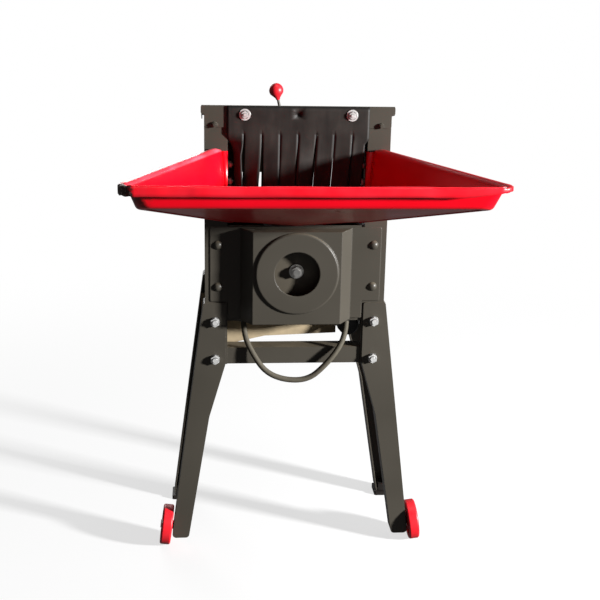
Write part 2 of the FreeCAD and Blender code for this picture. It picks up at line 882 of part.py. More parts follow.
# Feed tray: ruled walls between the rim and a floor that falls into the throat
def tray():
    root_y = -sheet
    floor_run = tray_floor_front + root_y
    fall = math.atan((tray_floor_height - tray_floor_root) / floor_run)
    narrowing = (tray_half - tray_root_half) / (tray_reach + root_y)
    side_angle = math.atan2(1, narrowing)
    wall_front = tray_reach - tray_lip
    wall_half = tray_half - tray_lip * (narrowing + 1 / math.sin(side_angle))

    def rim_place(x, v):
        return vec(x, v, tray_height)

    def shell(inset, past, rise):
        slope = (wall_half - tray_wall_root_half) / (wall_front + root_y)
        root_half = tray_wall_root_half - slope * past - inset
        rim = [(-root_half, root_y + past), (-wall_half + inset, inset - wall_front),
               (wall_half - inset, inset - wall_front), (root_half, root_y + past)]
        floor_slope = (tray_floor_half - tray_throat_half) / floor_run
        floor_root = tray_throat_half - floor_slope * past - inset
        length = floor_run / math.cos(fall)
        floor_rim = [(-floor_root, length + past), (-tray_floor_half + inset, inset),
                     (tray_floor_half - inset, inset), (floor_root, length + past)]

        def tilted(x, v):
            return vec(
                x, v * math.cos(fall) - tray_floor_front, tray_floor_height + rise - v * math.sin(fall))

        top = outline(rim, [0, tray_corner, tray_corner, 0], rim_place)
        low = outline(floor_rim, [0, tray_floor_corner, tray_floor_corner, 0], tilted)
        return Part.makeLoft([top, low], True, True)

    outer = shell(0, 0, 0)
    inner = shell(sheet, overrun, sheet / math.cos(fall))
    walls = outer.cut(inner)

    def lip_outline(inset):
        return [(inset - tray_root_half, root_y), (inset - tray_half, inset - tray_reach),
                (tray_half - inset, inset - tray_reach), (tray_root_half - inset, root_y)]

    corner = tray_corner + tray_lip
    z0 = tray_height - tray_lip_drop
    outside = plate_xy(lip_outline(0), z0, tray_height, [0, corner, corner, 0])
    hollow = plate_xy(
        lip_outline(sheet), z0 - overrun, tray_height - sheet, [0, corner - sheet, corner - sheet, 0])
    skirt = outside.cut(hollow)
    edge = [(sheet - tray_wall_root_half, root_y + overrun), (sheet - wall_half, sheet - wall_front),
            (wall_half - sheet, sheet - wall_front), (tray_wall_root_half - sheet, root_y + overrun)]
    mouth = plate_xy(
        edge, tray_height - 2 * sheet, tray_height + overrun, [0, tray_corner, tray_corner, 0])
    skirt = skirt.cut(mouth)
    pieces = [walls, skirt]
    for side in (-1, 1):
        wall_top_x = tray_throat_half + (tray_wall_root_half - tray_throat_half) * (
            (tray_tongue_top - tray_floor_root) / (tray_height - tray_floor_root))
        inner_x = side * (tray_throat_half - sheet)
        outer_x = side * tray_throat_half
        flange = plate_xz([(inner_x, tray_floor_root), (outer_x, tray_floor_root), (
            side * wall_top_x, tray_tongue_top),
                           (inner_x, tray_tongue_top)], root_y, 0)
        drop = (tray_tongue - root_y) * math.tan(fall)
        tongue = plate_yz(
            [(root_y, tray_floor_root), (
                tray_throat, tray_floor_root - (tray_throat - root_y) * math.tan(fall)),
             (tray_tongue, tray_floor_root - drop + cheek_hem), (tray_tongue, tray_tongue_top),
             (root_y, tray_tongue_top)],
            min(inner_x, outer_x), max(inner_x, outer_x))
        pieces += [flange, tongue]
    sill = [(root_y, tray_floor_root), (
        tray_throat, tray_floor_root - (tray_throat - root_y) * math.tan(fall)),
            (
                tray_throat,
                tray_floor_root - (tray_throat - root_y) * math.tan(fall) + sheet / math.cos(fall)),
            (root_y, tray_floor_root + sheet / math.cos(fall))]
    pieces.append(plate_yz(sill, -tray_throat_half, tray_throat_half))
    body = joined(pieces)
    for z in (tray_bolt_high, tray_bolt_low):
        hole = rod(
            screw_radius + run_fit, vec(-body_half, tray_bolt_y, z), vec(body_half, tray_bolt_y, z))
        body = body.cut(hole)
    return body


write("feed_tray", tray())


# Brackets that hold the tray's tongues beside the posts
def tray_bracket():
    x0 = body_half - post_flange
    face = box(x0, x0 + tray_bracket_width, steel, 2 * steel, tray_bracket_foot, tray_tongue_top)
    ear = box(x0, x0 + steel, steel, steel + tray_bracket_width, tray_bracket_foot, tray_tongue_top)
    body = joined([face, ear])
    for z in (tray_bolt_high, tray_bolt_low):
        body = body.cut(
            rod(
                screw_radius + run_fit, vec(x0 - overrun, tray_bolt_y, z),
                vec(x0 + 2 * overrun, tray_bolt_y, z)))
    return body


right_bracket = tray_bracket()
write("tray_brackets", group([right_bracket, mirrored(right_bracket)]))


# Rubber curtain: one sheet slit into strips that the ears push aside
def curtain():
    y1 = -lid_sheet
    y0 = y1 - curtain_rubber
    taper = curtain_half - curtain_strip_half
    points = [
        (-curtain_half, curtain_top), (-curtain_half, curtain_shoulder + taper), (
            -curtain_strip_half, curtain_shoulder),
        (-curtain_strip_half, curtain_foot), (curtain_strip_half, curtain_foot), (
            curtain_strip_half, curtain_shoulder),
        (curtain_half, curtain_shoulder + taper), (curtain_half, curtain_top),
    ]
    body = plate_xz(points, y0, y1)
    middle = (curtain_slits - 1) / 2
    for i in range(curtain_slits):
        x = (i - middle) * curtain_pitch
        slit = box(
            x - curtain_slit / 2, x + curtain_slit / 2, y0 - overrun, y1 + overrun,
            curtain_foot - overrun, curtain_slit_top)
        body = body.cut(slit)
    for x in (-curtain_bolt_half, curtain_bolt_half):
        body = body.cut(
            rod(
                screw_radius + run_fit, vec(x, y0 - overrun, curtain_bolt_height),
                vec(x, y1 + overrun, curtain_bolt_height)))
    return body.cut(
        rod(
            curtain_spare_hole, vec(0, y0 - overrun, curtain_bolt_height),
            vec(0, y1 + overrun, curtain_bolt_height)))


write("rubber_curtain", curtain())


# Fan cover: a pressed box with splayed sides, a raised round boss and the air eye
def fan_cover():
    def hood(inset):
        points = [(inset - cover_root_half, 0), (inset - cover_half, inset - cover_reach),
                  (cover_half - inset, inset - cover_reach), (cover_root_half - inset, 0)]
        return plate_xy(points, cover_foot + inset, cover_top - inset)

    boss_face = -cover_reach - boss_rise
    front = Part.makeCylinder(boss_radius, boss_rise + sheet, on_shaft(boss_face), shaft_axis)
    rim = [edge for edge in front.Edges if edge.Closed and abs(edge.BoundBox.YMin - boss_face) < run_fit]
    front = front.makeFillet(boss_edge, rim[:1])
    flange = plate_xz(
        [
            (-cover_flange_half, cover_flange_top), (-cover_flange_half, leg_top + steel),
            (-cover_notch_half, leg_top + steel), (-cover_notch_half, cover_flange_foot),
            (cover_notch_half, cover_flange_foot), (cover_notch_half, leg_top + steel),
            (cover_flange_half, leg_top + steel), (cover_flange_half, cover_flange_top),
        ],
        -sheet, 0, [soft_corner, soft_corner, 0, soft_corner, soft_corner, 0, soft_corner, soft_corner])
    body = joined([hood(0), front, flange])
    inner = plate_xy(
        [(sheet - cover_root_half, overrun), (sheet - cover_root_half, 0), (
            sheet - cover_half, sheet - cover_reach),
         (cover_half - sheet, sheet - cover_reach), (cover_root_half - sheet, 0), (
             cover_root_half - sheet, overrun)],
        cover_foot + sheet, cover_top - sheet)
    body = body.cut(inner)
    body = body.cut(rod(boss_radius - sheet, on_shaft(boss_face + sheet), on_shaft(0)))
    body = body.cut(rod(eye_radius, on_shaft(boss_face - overrun), on_shaft(0)))
    for side in (-1, 1):
        for z in (dome_bolt_high, dome_bolt_low):
            x = side * dome_bolt_half
            body = body.cut(rod(bolt_radius + run_fit, vec(x, -sheet - overrun, z), vec(x, overrun, z)))
    return body


write("fan_cover", fan_cover())


# Flange bearings
def bearing(front):
    sign = 1 if front else -1
    y0 = steel + sheet if front else body_depth - steel - sheet
    y1 = y0 + sign * bearing_plate
    y2 = y0 + sign * bearing_length
    half = bearing_flange / 2
    points = [
        (-half, shaft_height - half), (half, shaft_height - half), (half, shaft_height + half),
        (-half, shaft_height + half)]
    plate = plate_xz(points, y0, y1, [half / 3] * 4)
    body = joined([plate, rod(bearing_boss, on_shaft(y0), on_shaft(y2))])
    low, high = sorted((y0, y2))
    body = body.cut(rod(shaft_radius + run_fit, on_shaft(low - overrun), on_shaft(high + overrun)))
    for x, z in bearing_holes:
        body = body.cut(
            rod(
                bearing_bolt + run_fit, vec(x, low - overrun, shaft_height + z),
                vec(x, high + overrun, shaft_height + z)))
    return body


write("front_bearing", bearing(True))
write("rear_bearing", bearing(False))


# Main shaft, stepped at the bearings, and what it carries
front_step = steel + sheet + bearing_length + seat_gap
rear_step = body_depth - steel - sheet - bearing_length - seat_gap
main_shaft = turned(
    [
        (shaft_front, 0), (shaft_front, shaft_tip_radius), (fan_disc_front, shaft_tip_radius),
        (fan_disc_front, shaft_radius), (front_step, shaft_radius), (front_step, shaft_mid_radius),
        (rear_step, shaft_mid_radius), (rear_step, shaft_radius), (
            shaft_rear, shaft_radius), (shaft_rear, 0),
    ],
    on_shaft(0), vec(0, 1, 0))
write("main_shaft", main_shaft)

disc_back = fan_disc_front + fan_disc
nut_flange_face = fan_disc_front - nut_flange
shaft_nut = joined([
    rod(nut_flange_radius, on_shaft(nut_flange_face), on_shaft(fan_disc_front)),
    hex_bar(nut_radius, on_shaft(nut_flange_face - nut_length), on_shaft(nut_flange_face)),
])
shaft_nut = shaft_nut.cut(rod(shaft_tip_radius + run_fit, on_shaft(shaft_front), on_shaft(0)))
write("shaft_nut", shaft_nut)


def impeller():
    pieces = [
        rod(fan_disc_radius, on_shaft(fan_disc_front), on_shaft(disc_back)),
        rod(fan_hub_radius, on_shaft(disc_back), on_shaft(disc_back + fan_hub_length)),
    ]
    blade_y0 = fan_disc_front - fan_blade_depth
    lean = math.radians(fan_blade_lean)
    length = (fan_disc_radius - fan_blade_inner) * math.cos(lean)
    for i in range(fan_blades):
        blade = box(0, fan_blade, blade_y0, disc_back, 0, length)
        blade.rotate(vec(0, 0, 0), vec(0, 1, 0), fan_blade_lean)
        blade.translate(on_shaft(0) + vec(0, 0, fan_blade_inner))
        blade.rotate(on_shaft(0), vec(0, 1, 0), 360 * i / fan_blades)
        pieces.append(blade)
    body = joined(pieces)
    return body.cut(rod(shaft_radius + run_fit, on_shaft(fan_disc_front - overrun), on_shaft(body_depth)))


write("fan_impeller", impeller())

drum_shell = ring(drum_radius, drum_radius - drum_wall, on_shaft(drum_front), on_shaft(drum_rear))
drum_ends = [
    rod(drum_radius - drum_wall / 2, on_shaft(y), on_shaft(y + drum_disc)) for y in (
        drum_front, drum_rear - drum_disc)]
drum = joined([drum_shell] + drum_ends)
drum = drum.cut(rod(shaft_mid_radius + run_fit, on_shaft(0), on_shaft(body_depth)))
write("threshing_drum", drum)


def pegs():
    """Pegs in rows that wind slowly round the drum."""
    solids = []
    step = (drum_rear - drum_front - 2 * peg_margin) / (pegs_in_row - 1)
    for row in range(peg_rows):
        for i in range(pegs_in_row):
            y = drum_front + peg_margin + step * i
            turn = 360 * row / peg_rows + peg_twist * i / (pegs_in_row - 1)
            peg = rod(
                peg_radius, vec(0, y, shaft_height + drum_radius - drum_wall),
                vec(0, y, shaft_height + peg_reach))
            peg = peg.cut(rod(drum_radius + run_fit, on_shaft(0), on_shaft(body_depth)))
            peg.rotate(on_shaft(0), vec(0, 1, 0), turn)
            solids.append(peg)
    return group(solids)


write("drum_pegs", pegs())


# Concave: bars along the drum, carried by ribs between two flat rails
def concave():
    y0 = steel + sheet + seat_gap
    y1 = body_depth - steel - sheet - seat_gap
    outer = concave_radius + concave_bar
    half_space = box(-outer, outer, y0, y1, shaft_height - outer - overrun, shaft_height - concave_bar)
    pieces = []
    for i in range(concave_ribs):
        y = y0 + (y1 - y0 - concave_rib) * i / (concave_ribs - 1)
        rib = ring(outer, concave_radius + concave_bar / 3, on_shaft(y), on_shaft(y + concave_rib))
        pieces.append(rib.common(half_space))
    for i in range(concave_bars):
        a = math.pi * (i + 1) / (concave_bars + 1)
        x = (concave_radius + concave_bar / 2) * math.cos(a)
        z = shaft_height - (concave_radius + concave_bar / 2) * math.sin(a)
        pieces.append(rod(concave_bar / 2, vec(x, y0, z), vec(x, y1, z)))
    for side in (-1, 1):
        x0, x1 = sorted((side * concave_radius, side * (concave_radius + concave_rail)))
        pieces.append(box(x0, x1, y0, y1, shaft_height - concave_rail, shaft_height))
    return joined(pieces)


write("concave", concave())


# Kernel chute: folded trough under the concave, open at its left end
def chute():
    x_left = -chute_left
    x_right = chute_right
    low = [(x_left, chute_line(x_left) - sheet), (x_right, chute_line(x_right) - sheet)]
    top = [(x_right, chute_line(x_right)), (x_left, chute_line(x_left))]
    floor = plate_xz(low + top, chute_front, chute_rear)
    skirt_slope = (chute_skirt_right - chute_skirt_left) / chute_skirt_span
    skirt_right_z = chute_skirt_right - skirt_slope * (concave_radius - chute_right)
    meet = (chute_floor - sheet - skirt_right_z + skirt_slope * x_right) / (skirt_slope - chute_fall)
    front_points = [
        (x_left, chute_line(x_left) - sheet), (meet, chute_line(meet) - sheet), (x_right, skirt_right_z),
        (x_right, chute_hem), (x_left, chute_hem),
    ]
    front = plate_xz(front_points, chute_front, chute_front + sheet)
    rear_points = [
        (x_left, chute_line(x_left) - sheet), (x_right, chute_line(x_right) - sheet),
        (x_right, chute_hem), (x_left, chute_hem)]
    rear = plate_xz(rear_points, chute_rear - sheet, chute_rear)
    slot_top = chute_hem - sheet
    rear = rear.cut(box(
        -chaff_slot_half, chaff_slot_half - 2 * sheet, chute_rear - overrun, chute_rear + overrun,
        slot_top - chaff_slot_height, slot_top - sheet))
    hem_x = steel - panel_half
    hem_z = wall_foot - seat_gap
    hems = [
        box(hem_x, x_right, chute_front - chute_hem_reach, chute_front + sheet, chute_hem, hem_z),
        box(hem_x, x_right, chute_rear - sheet, chute_rear + chute_hem_reach, chute_hem, hem_z),
    ]
    for x in (cable_route[0][0], cable_route[-1][0]):
        hems[0] = hems[0].cut(
            rod(gland_hex + seat_gap * 3, vec(x, gland_y, 0), vec(x, gland_y, shaft_height)))
    end_wall = plate_xz(
        [(x_right - sheet, chute_line(x_right) - sheet), (x_right, chute_line(x_right) - sheet),
         (chute_wall_out, chute_wall_top), (chute_wall_out - sheet, chute_wall_top)],
        chute_front, chute_rear)
    return joined([floor, front, rear, end_wall] + hems)


write("kernel_chute", chute())

# Capacitor can and its strap, hung from the front wall's hem
can = rod(can_radius, vec(can_x, can_front, can_height), vec(can_x, can_rear, can_height))
can_rims = [edge for edge in can.Edges if edge.Closed]
can = can.makeChamfer(can_edge, can_rims)
write("capacitor", can)

clip_outer = can_radius + seat_gap + clip_wall
clip_loop = ring(
    clip_outer, can_radius + seat_gap, vec(can_x, clip_front, can_height),
    vec(can_x, clip_front + clip_width, can_height))
hem_y1 = clip_front + clip_width
clip_x0 = can_x + can_radius / 2
clip_riser = box(
    clip_x0, clip_x0 + clip_wall, clip_front, hem_y1, can_height + can_radius * 3 / 4,
    wall_foot - seat_gap)
clip_tongue = box(
    clip_x0, clip_x0 + clip_tab, steel + wall_lip - clip_tab, hem_y1, wall_foot - seat_gap - clip_wall,
    wall_foot - seat_gap)
write("capacitor_clip", joined([clip_loop, clip_riser, clip_tongue]).cut(
    rod(can_radius + seat_gap, vec(can_x, can_front, can_height), vec(can_x, can_rear, can_height))))


# Motor shelf: plate with a bolted front flange and tapering side webs
shelf_top = motor_height - motor_radius - motor_fin_rise - shelf_plate
shelf_y0 = body_depth - steel
shelf_y1 = shelf_y0 + shelf_reach
shelf_z0 = shelf_top - shelf_plate


def shelf():
    base = box(-shelf_half, shelf_half, shelf_y0, shelf_y1, shelf_z0, shelf_top)
    face = box(
        -shelf_half, shelf_half, shelf_y0, shelf_y0 + shelf_plate, shelf_z0, shelf_z0 + shelf_front_rise)
    web_points = [
        (shelf_y0, shelf_z0), (shelf_y1, shelf_z0), (shelf_y1, shelf_top + shelf_plate),
        (shelf_y0, shelf_z0 + shelf_web_rise)]
    webs = [
        plate_yz(web_points, shelf_half - steel, shelf_half),
        plate_yz(web_points, -shelf_half, steel - shelf_half)]
    body = joined([base, face] + webs)
    foot_y = motor_front + motor_length / 2
    for sx in (-1, 1):
        for sy in (-1, 1):
            x = sx * motor_foot_bolt
            y = foot_y + sy * motor_foot_length / 3
            slot = joined([
                rod(
                    motor_foot_hole, vec(x - steel, y, shelf_z0 - overrun),
                    vec(x - steel, y, shelf_top + overrun)),
                rod(
                    motor_foot_hole, vec(x + steel, y, shelf_z0 - overrun),
                    vec(x + steel, y, shelf_top + overrun)),
                box(
                    x - steel, x + steel, y - motor_foot_hole, y + motor_foot_hole, shelf_z0 - overrun,
                    shelf_top + overrun),
            ])
            body = body.cut(slot)
        x = sx * motor_foot_bolt
        z = post_foot + rail_height / 3
        body = body.cut(
            rod(screw_radius + run_fit, vec(x, shelf_y0 - overrun, z), vec(x, shelf_y0 + 2 * overrun, z)))
    return body


write("motor_shelf", shelf())


# Motor frame: finned barrel between two end bells, on two feet
def motor():
    y0 = motor_front
    y1 = motor_front + motor_bell
    y2 = motor_front + motor_length - motor_bell
    y3 = motor_front + motor_length
    inset = motor_radius - motor_bell_inset
    core = turned(
        [(y0, 0), (y0, inset), (y1, motor_radius), (y3, motor_radius), (y3, 0)], on_motor(0),
        vec(0, 1, 0))
    pieces = [core]
    for i in range(motor_fins):
        fin = box(
            -motor_fin / 2, motor_fin / 2, y1, y2, motor_radius - motor_fin,
            motor_radius + motor_fin_rise)
        fin.rotate(vec(0, 0, 0), vec(0, 1, 0), 360 * (i + 0.5) / motor_fins)
        fin.translate(on_motor(0))
        pieces.append(fin)
    foot_y = motor_front + motor_length / 2
    fy0 = foot_y - motor_foot_length / 2
    fy1 = foot_y + motor_foot_length / 2
    for side in (-1, 1):
        x0, x1 = sorted((side * motor_foot_in, side * motor_foot_out))
        pad = box(x0, x1, fy0, fy1, shelf_top, shelf_top + motor_foot)
        cheek_x0, cheek_x1 = sorted((side * motor_foot_in, side * (motor_foot_in + motor_foot)))
        strut = box(cheek_x0, cheek_x1, fy0, fy1, shelf_top, motor_height - motor_radius / 2)
        pieces += [pad, strut]
    body = joined(pieces)
    body = body.cut(
        box(
            -terminal_half, terminal_half, y0, y3, motor_height + motor_radius - motor_fin,
            motor_height + 2 * motor_radius))
    body = body.cut(rod(motor_shaft_radius + run_fit, on_motor(y0 - overrun), on_motor(y3 + overrun)))
    for sx in (-1, 1):
        for sy in (-1, 1):
            x = sx * motor_foot_bolt
            y = foot_y + sy * motor_foot_length / 3
            body = body.cut(
                rod(motor_foot_hole, vec(x, y, shelf_top - overrun), vec(x, y, shelf_top + 2 * overrun)))
    return body


write("motor_frame", motor())


def cowl():
    y0 = motor_front + motor_length - cowl_edge
    y1 = rear_end
    cowl_radius = motor_radius + seat_gap + cowl_wall
    profile = [
        (y0, 0), (y0, cowl_radius), (y1 - cowl_edge, cowl_radius), (y1, cowl_radius - cowl_edge), (y1, 0)]
    inner_r = motor_radius + seat_gap
    hollow = [(y0 - overrun, 0), (y0 - overrun, inner_r), (y1 - cowl_edge - cowl_wall, inner_r),
              (y1 - cowl_wall, inner_r - cowl_edge), (y1 - cowl_wall, 0)]
    body = turned(profile, on_motor(0), vec(0, 1, 0)).cut(turned(hollow, on_motor(0), vec(0, 1, 0)))
    for i in range(cowl_slots):
        slot = box(
            -cowl_slot_width / 2, cowl_slot_width / 2, y1 - 2 * cowl_wall, y1 + overrun, cowl_slot_inner,
            cowl_slot_outer)
        slot.rotate(vec(0, 0, 0), vec(0, 1, 0), 360 * i / cowl_slots)
        slot.translate(on_motor(0))
        body = body.cut(slot)
    return body


write("motor_cowl", cowl())

# Terminal box on the motor, with the rocker in a recess of its lid
box_y0 = motor_front + motor_length / 2 - terminal_depth / 2
box_y1 = box_y0 + terminal_depth
box_z0 = motor_height + motor_radius - motor_fin + seat_gap
box_z1 = box_z0 + terminal_rise
corners = [soft_corner] * 4
box_points = [
    (-terminal_half, box_y0), (terminal_half, box_y0), (terminal_half, box_y1), (-terminal_half, box_y1)]
lid_out = sheet
lid_points = [(-terminal_half - lid_out, box_y0 - lid_out), (terminal_half + lid_out, box_y0 - lid_out),
              (terminal_half + lid_out, box_y1 + lid_out), (-terminal_half - lid_out, box_y1 + lid_out)]
terminal = joined(
    [
        plate_xy(box_points, box_z0, box_z1, corners),
        plate_xy(lid_points, box_z1, box_z1 + terminal_lid, corners)])
rocker_y = (box_y0 + box_y1) / 2
rocker_z = box_z1 + terminal_lid
well_x = rocker_length / 2 + 2 * seat_gap
well_y = rocker_width / 2 + seat_gap
terminal = terminal.cut(
    box(
        -well_x, well_x, rocker_y - well_y, rocker_y + well_y, rocker_z - terminal_lid * 2,
        rocker_z + overrun))
write("terminal_box", terminal)

# Rocker: a shallow V in side view, tipped to its off end
rocker_low = rocker_z - terminal_lid
rocker = plate_xz(
    [(-rocker_length / 2, rocker_z + rocker_rise / 2), (0, rocker_z), (
        rocker_length / 2, rocker_z + rocker_rise / 2),
     (rocker_length / 2 - rocker_rise, rocker_z - rocker_rise / 2), (
         rocker_rise, rocker_low), (-rocker_rise, rocker_low),
     (rocker_rise - rocker_length / 2, rocker_z - rocker_rise / 2)],
    rocker_y - rocker_width / 2, rocker_y + rocker_width / 2)
rocker.rotate(vec(0, rocker_y, rocker_low), vec(0, 1, 0), -rocker_tilt)
write("rocker_switch", rocker)


# Pulleys: turned, each with one V groove; the large one has a dished web with holes
belt_y = belt_front + pulley_width / 2


def pulley(radius, hub_radius, bore, dished):
    y0 = belt_front
    y1 = belt_front + pulley_width
    hub_end = y1 + hub_length
    groove = [
        (belt_y - groove_top / 2, radius), (belt_y - groove_floor / 2, radius - groove_depth),
        (belt_y + groove_floor / 2, radius - groove_depth), (belt_y + groove_top / 2, radius),
    ]
    front_dish = []
    rear_dish = []
    if dished:
        rim = radius - groove_depth - 2 * steel
        front_dish = [
            (y0, hub_radius), (y0 + pulley_dish, hub_radius), (y0 + pulley_dish, rim), (y0, rim)]
        rear_dish = [(y1, rim), (y1 - pulley_dish, rim), (y1 - pulley_dish, hub_radius)]
    else:
        rear_dish = [(y1, hub_radius)]
    profile = [(y0, bore + run_fit)] + front_dish + [(y0, radius)] + groove + [(y1, radius)] + rear_dish
    profile += [(hub_end, hub_radius), (hub_end, bore + run_fit)]
    body = turned(profile, vec(0, 0, 0), vec(0, 1, 0))
    if dished:
        for i in range(pulley_holes):
            a = 2 * math.pi * i / pulley_holes
            x = pulley_hole_ring * math.cos(a)
            z = pulley_hole_ring * math.sin(a)
            body = body.cut(rod(pulley_hole, vec(x, y0, z), vec(x, y1, z)))
    return body


driven = pulley(driven_radius, driven_hub_radius, shaft_radius, True)
driven.translate(vec(0, 0, shaft_height))
write("driven_pulley", driven)
driver = pulley(driver_radius, driver_hub_radius, motor_shaft_radius, False)
driver.translate(vec(0, 0, motor_height))
write("motor_pulley", driver)
write("motor_shaft", rod(motor_shaft_radius, on_motor(belt_front), on_motor(rear_end - 2 * cowl_edge)))

# Belt: a trapezoid carried round both pulleys on their common tangents
centre_gap = shaft_height - motor_height


def racetrack(top_radius, low_radius, y):
    """Closed path of two arcs and their outer tangents, in the plane at y."""
    lean = math.asin((top_radius - low_radius) / centre_gap)
    c = math.cos(lean)
    s = math.sin(lean)
    top_r = vec(top_radius * c, y, shaft_height - top_radius * s)
    top_l = vec(-top_radius * c, y, shaft_height - top_radius * s)
    low_r = vec(low_radius * c, y, motor_height - low_radius * s)
    low_l = vec(-low_radius * c, y, motor_height - low_radius * s)
    return Part.Wire([
        Part.Arc(top_r, vec(0, y, shaft_height + top_radius), top_l).toShape(),
        Part.LineSegment(top_l, low_l).toShape(),
        Part.Arc(low_l, vec(0, y, motor_height - low_radius), low_r).toShape(),
        Part.LineSegment(low_r, top_r).toShape(),
    ])


def belt():
    """Ruled between the wide outer and the narrow inner edge, cut hollow."""
    top_out = driven_radius - belt_sink
    low_out = driver_radius - belt_sink
    outer = Part.Face(racetrack(top_out, low_out, belt_y - belt_top / 2)).extrude(vec(0, belt_top, 0))
    inner = Part.Face(racetrack(top_out - belt_depth, low_out - belt_depth, belt_y - belt_top))
    inner = inner.extrude(vec(0, 2 * belt_top, 0))
    body = outer.cut(inner)
    bevel = (belt_top - belt_floor) / 2
    for side in (-1, 1):
        narrow_y = belt_y + side * (belt_floor / 2 - bevel * overrun / belt_depth)
        narrow = racetrack(top_out - belt_depth - overrun, low_out - belt_depth - overrun, narrow_y)
        wide = racetrack(top_out, low_out, belt_y + side * belt_top / 2)
        flank = Part.makeLoft([narrow, wide], True, True)
        body = body.cut(flank)
    return body


write("drive_belt", belt())


# Belt guard: a tear-drop box open towards the rear wall
def guard():
    top_r = driven_radius + guard_clear
    low_r = driver_radius + guard_clear
    y0 = body_depth - steel + seat_gap
    outer = Part.Face(racetrack(top_r, low_r, y0)).extrude(vec(0, guard_rear - y0, 0))
    inner = Part.Face(racetrack(top_r - sheet, low_r - sheet, y0 - overrun)).extrude(
        vec(0, guard_rear - sheet - y0 + overrun, 0))
    ears = []
    for sx in (-1, 1):
        x0, x1 = sorted((sx * (top_r - sheet), sx * (top_r + guard_ear)))
        ears.append(
            box(x0, x1, y0, y0 + sheet, shaft_height - guard_ear / 2, shaft_height + guard_ear / 2))
    body = joined([outer] + ears).cut(inner)
    for sx in (-1, 1):
        x = sx * (top_r + guard_ear / 2)
        body = body.cut(
            rod(
                guard_ear_hole + run_fit, vec(x, y0 - overrun, shaft_height),
                vec(x, y0 + overrun, shaft_height)))
    body = body.cut(rod(guard_motor_hole, on_motor(guard_rear - overrun), on_motor(guard_rear + overrun)))
    shelf_clear = shelf_z0 + shelf_front_rise + steel
    body = body.cut(box(-top_r, top_r, y0 - overrun, shelf_y0 + shelf_plate + sheet, 0, shelf_clear))
    return body


write("belt_guard", guard())


# Cob spout below the outlet: sloping floor, two side walls and a hem on the rear wall
def spout():
    y0 = body_depth - steel
    tilt = math.tan(math.radians(spout_slope))
    z0 = outlet_sill - sheet
    z1 = z0 - (spout_rear - y0) * tilt
    base = plate_yz(
        [(y0, z0 - sheet), (spout_rear, z1 - sheet), (spout_rear, z1), (y0, z0)], -spout_half, spout_half)
    hem = box(-spout_half, spout_half, y0, y0 + sheet, z0 - spout_hem, z0 - sheet / 2)
    wall_points = [
        (y0, z0 - sheet), (spout_rear, z1 - sheet), (spout_rear, z1 + spout_wall / 3),
        (y0, z0 + spout_wall)]
    walls = [
        plate_yz(wall_points, spout_half - sheet, spout_half),
        plate_yz(wall_points, -spout_half, sheet - spout_half)]
    return joined([base, hem] + walls)


write("cob_spout", spout())


# Gate lugs on the rear posts
def gate_lug_piece():
    y0 = body_depth
    z0 = gate_height - gate_lug_height / 2
    z1 = gate_height + gate_lug_height / 4
    plate = box(gate_lug_half, gate_lug_half + gate_lug_width, y0, y0 + gate_lug, z0, z1)
    ear = box(gate_lug_half, gate_lug_half + gate_lug, y0, gate_y + gate_lug_reach / 2, z0, z1)
    body = joined([plate, ear])
    return body.cut(rod(gate_shaft_radius + run_fit, vec(gate_lug_half - overrun, gate_y, gate_height),
                        vec(gate_lug_half + overrun, gate_y, gate_height)))


right_lug = gate_lug_piece()
write("gate_lugs", group([right_lug, mirrored(right_lug)]))


# Gate: shaft and flap in one weldment, drawn hanging and then swung open
def swung(shape):
    shape.rotate(vec(0, gate_y, gate_height), vec(1, 0, 0), gate_open)
    return shape


gate_shaft = rod(
    gate_shaft_radius, vec(-gate_shaft_half, gate_y, gate_height),
    vec(gate_shaft_half, gate_y, gate_height))
flap = box(
    -gate_half, gate_half, gate_y - sheet / 2, gate_y + sheet / 2, gate_height - gate_length, gate_height)
eye_reach = gate_shaft_radius + 2 * steel
flap = flap.cut(box(
    lever_foot_x - 2 * overrun, lever_foot_x + 2 * overrun, gate_y - eye_reach, gate_y + eye_reach,
    gate_height - eye_reach, gate_height))
flap_lip = box(
    -gate_half, gate_half, gate_y - sheet / 2, gate_y + gate_lip, gate_height - gate_length,
    gate_height - gate_length + sheet)
write("outlet_gate", swung(joined([gate_shaft, flap, flap_lip])))

lever_foot = vec(lever_foot_x, gate_y, gate_height)
lever_tip = vec(lever_top_x, gate_y, lever_top)
lever_line = lever_tip - lever_foot
lever_line.normalize()
lever = rod(lever_radius, lever_foot + lever_line * (gate_shaft_radius - run_fit), lever_tip)
lever_eye = ring(
    gate_shaft_radius + steel, gate_shaft_radius + run_fit,
    vec(lever_foot_x - overrun, gate_y, gate_height),
    vec(lever_foot_x + overrun, gate_y, gate_height))
lever = lever.cut(rod(
    gate_shaft_radius + run_fit, vec(-gate_half, gate_y, gate_height),
    vec(gate_half, gate_y, gate_height)))
write("gate_lever", joined([lever, lever_eye]))
knob_neck_foot = lever_tip - lever_line * (knob_radius + knob_neck)
knob = joined([Part.makeSphere(knob_radius, lever_tip), rod(knob_neck, knob_neck_foot, lever_tip)])
write(
    "lever_knob", knob.cut(rod(lever_radius + run_fit, knob_neck_foot - lever_line * overrun, lever_tip)))


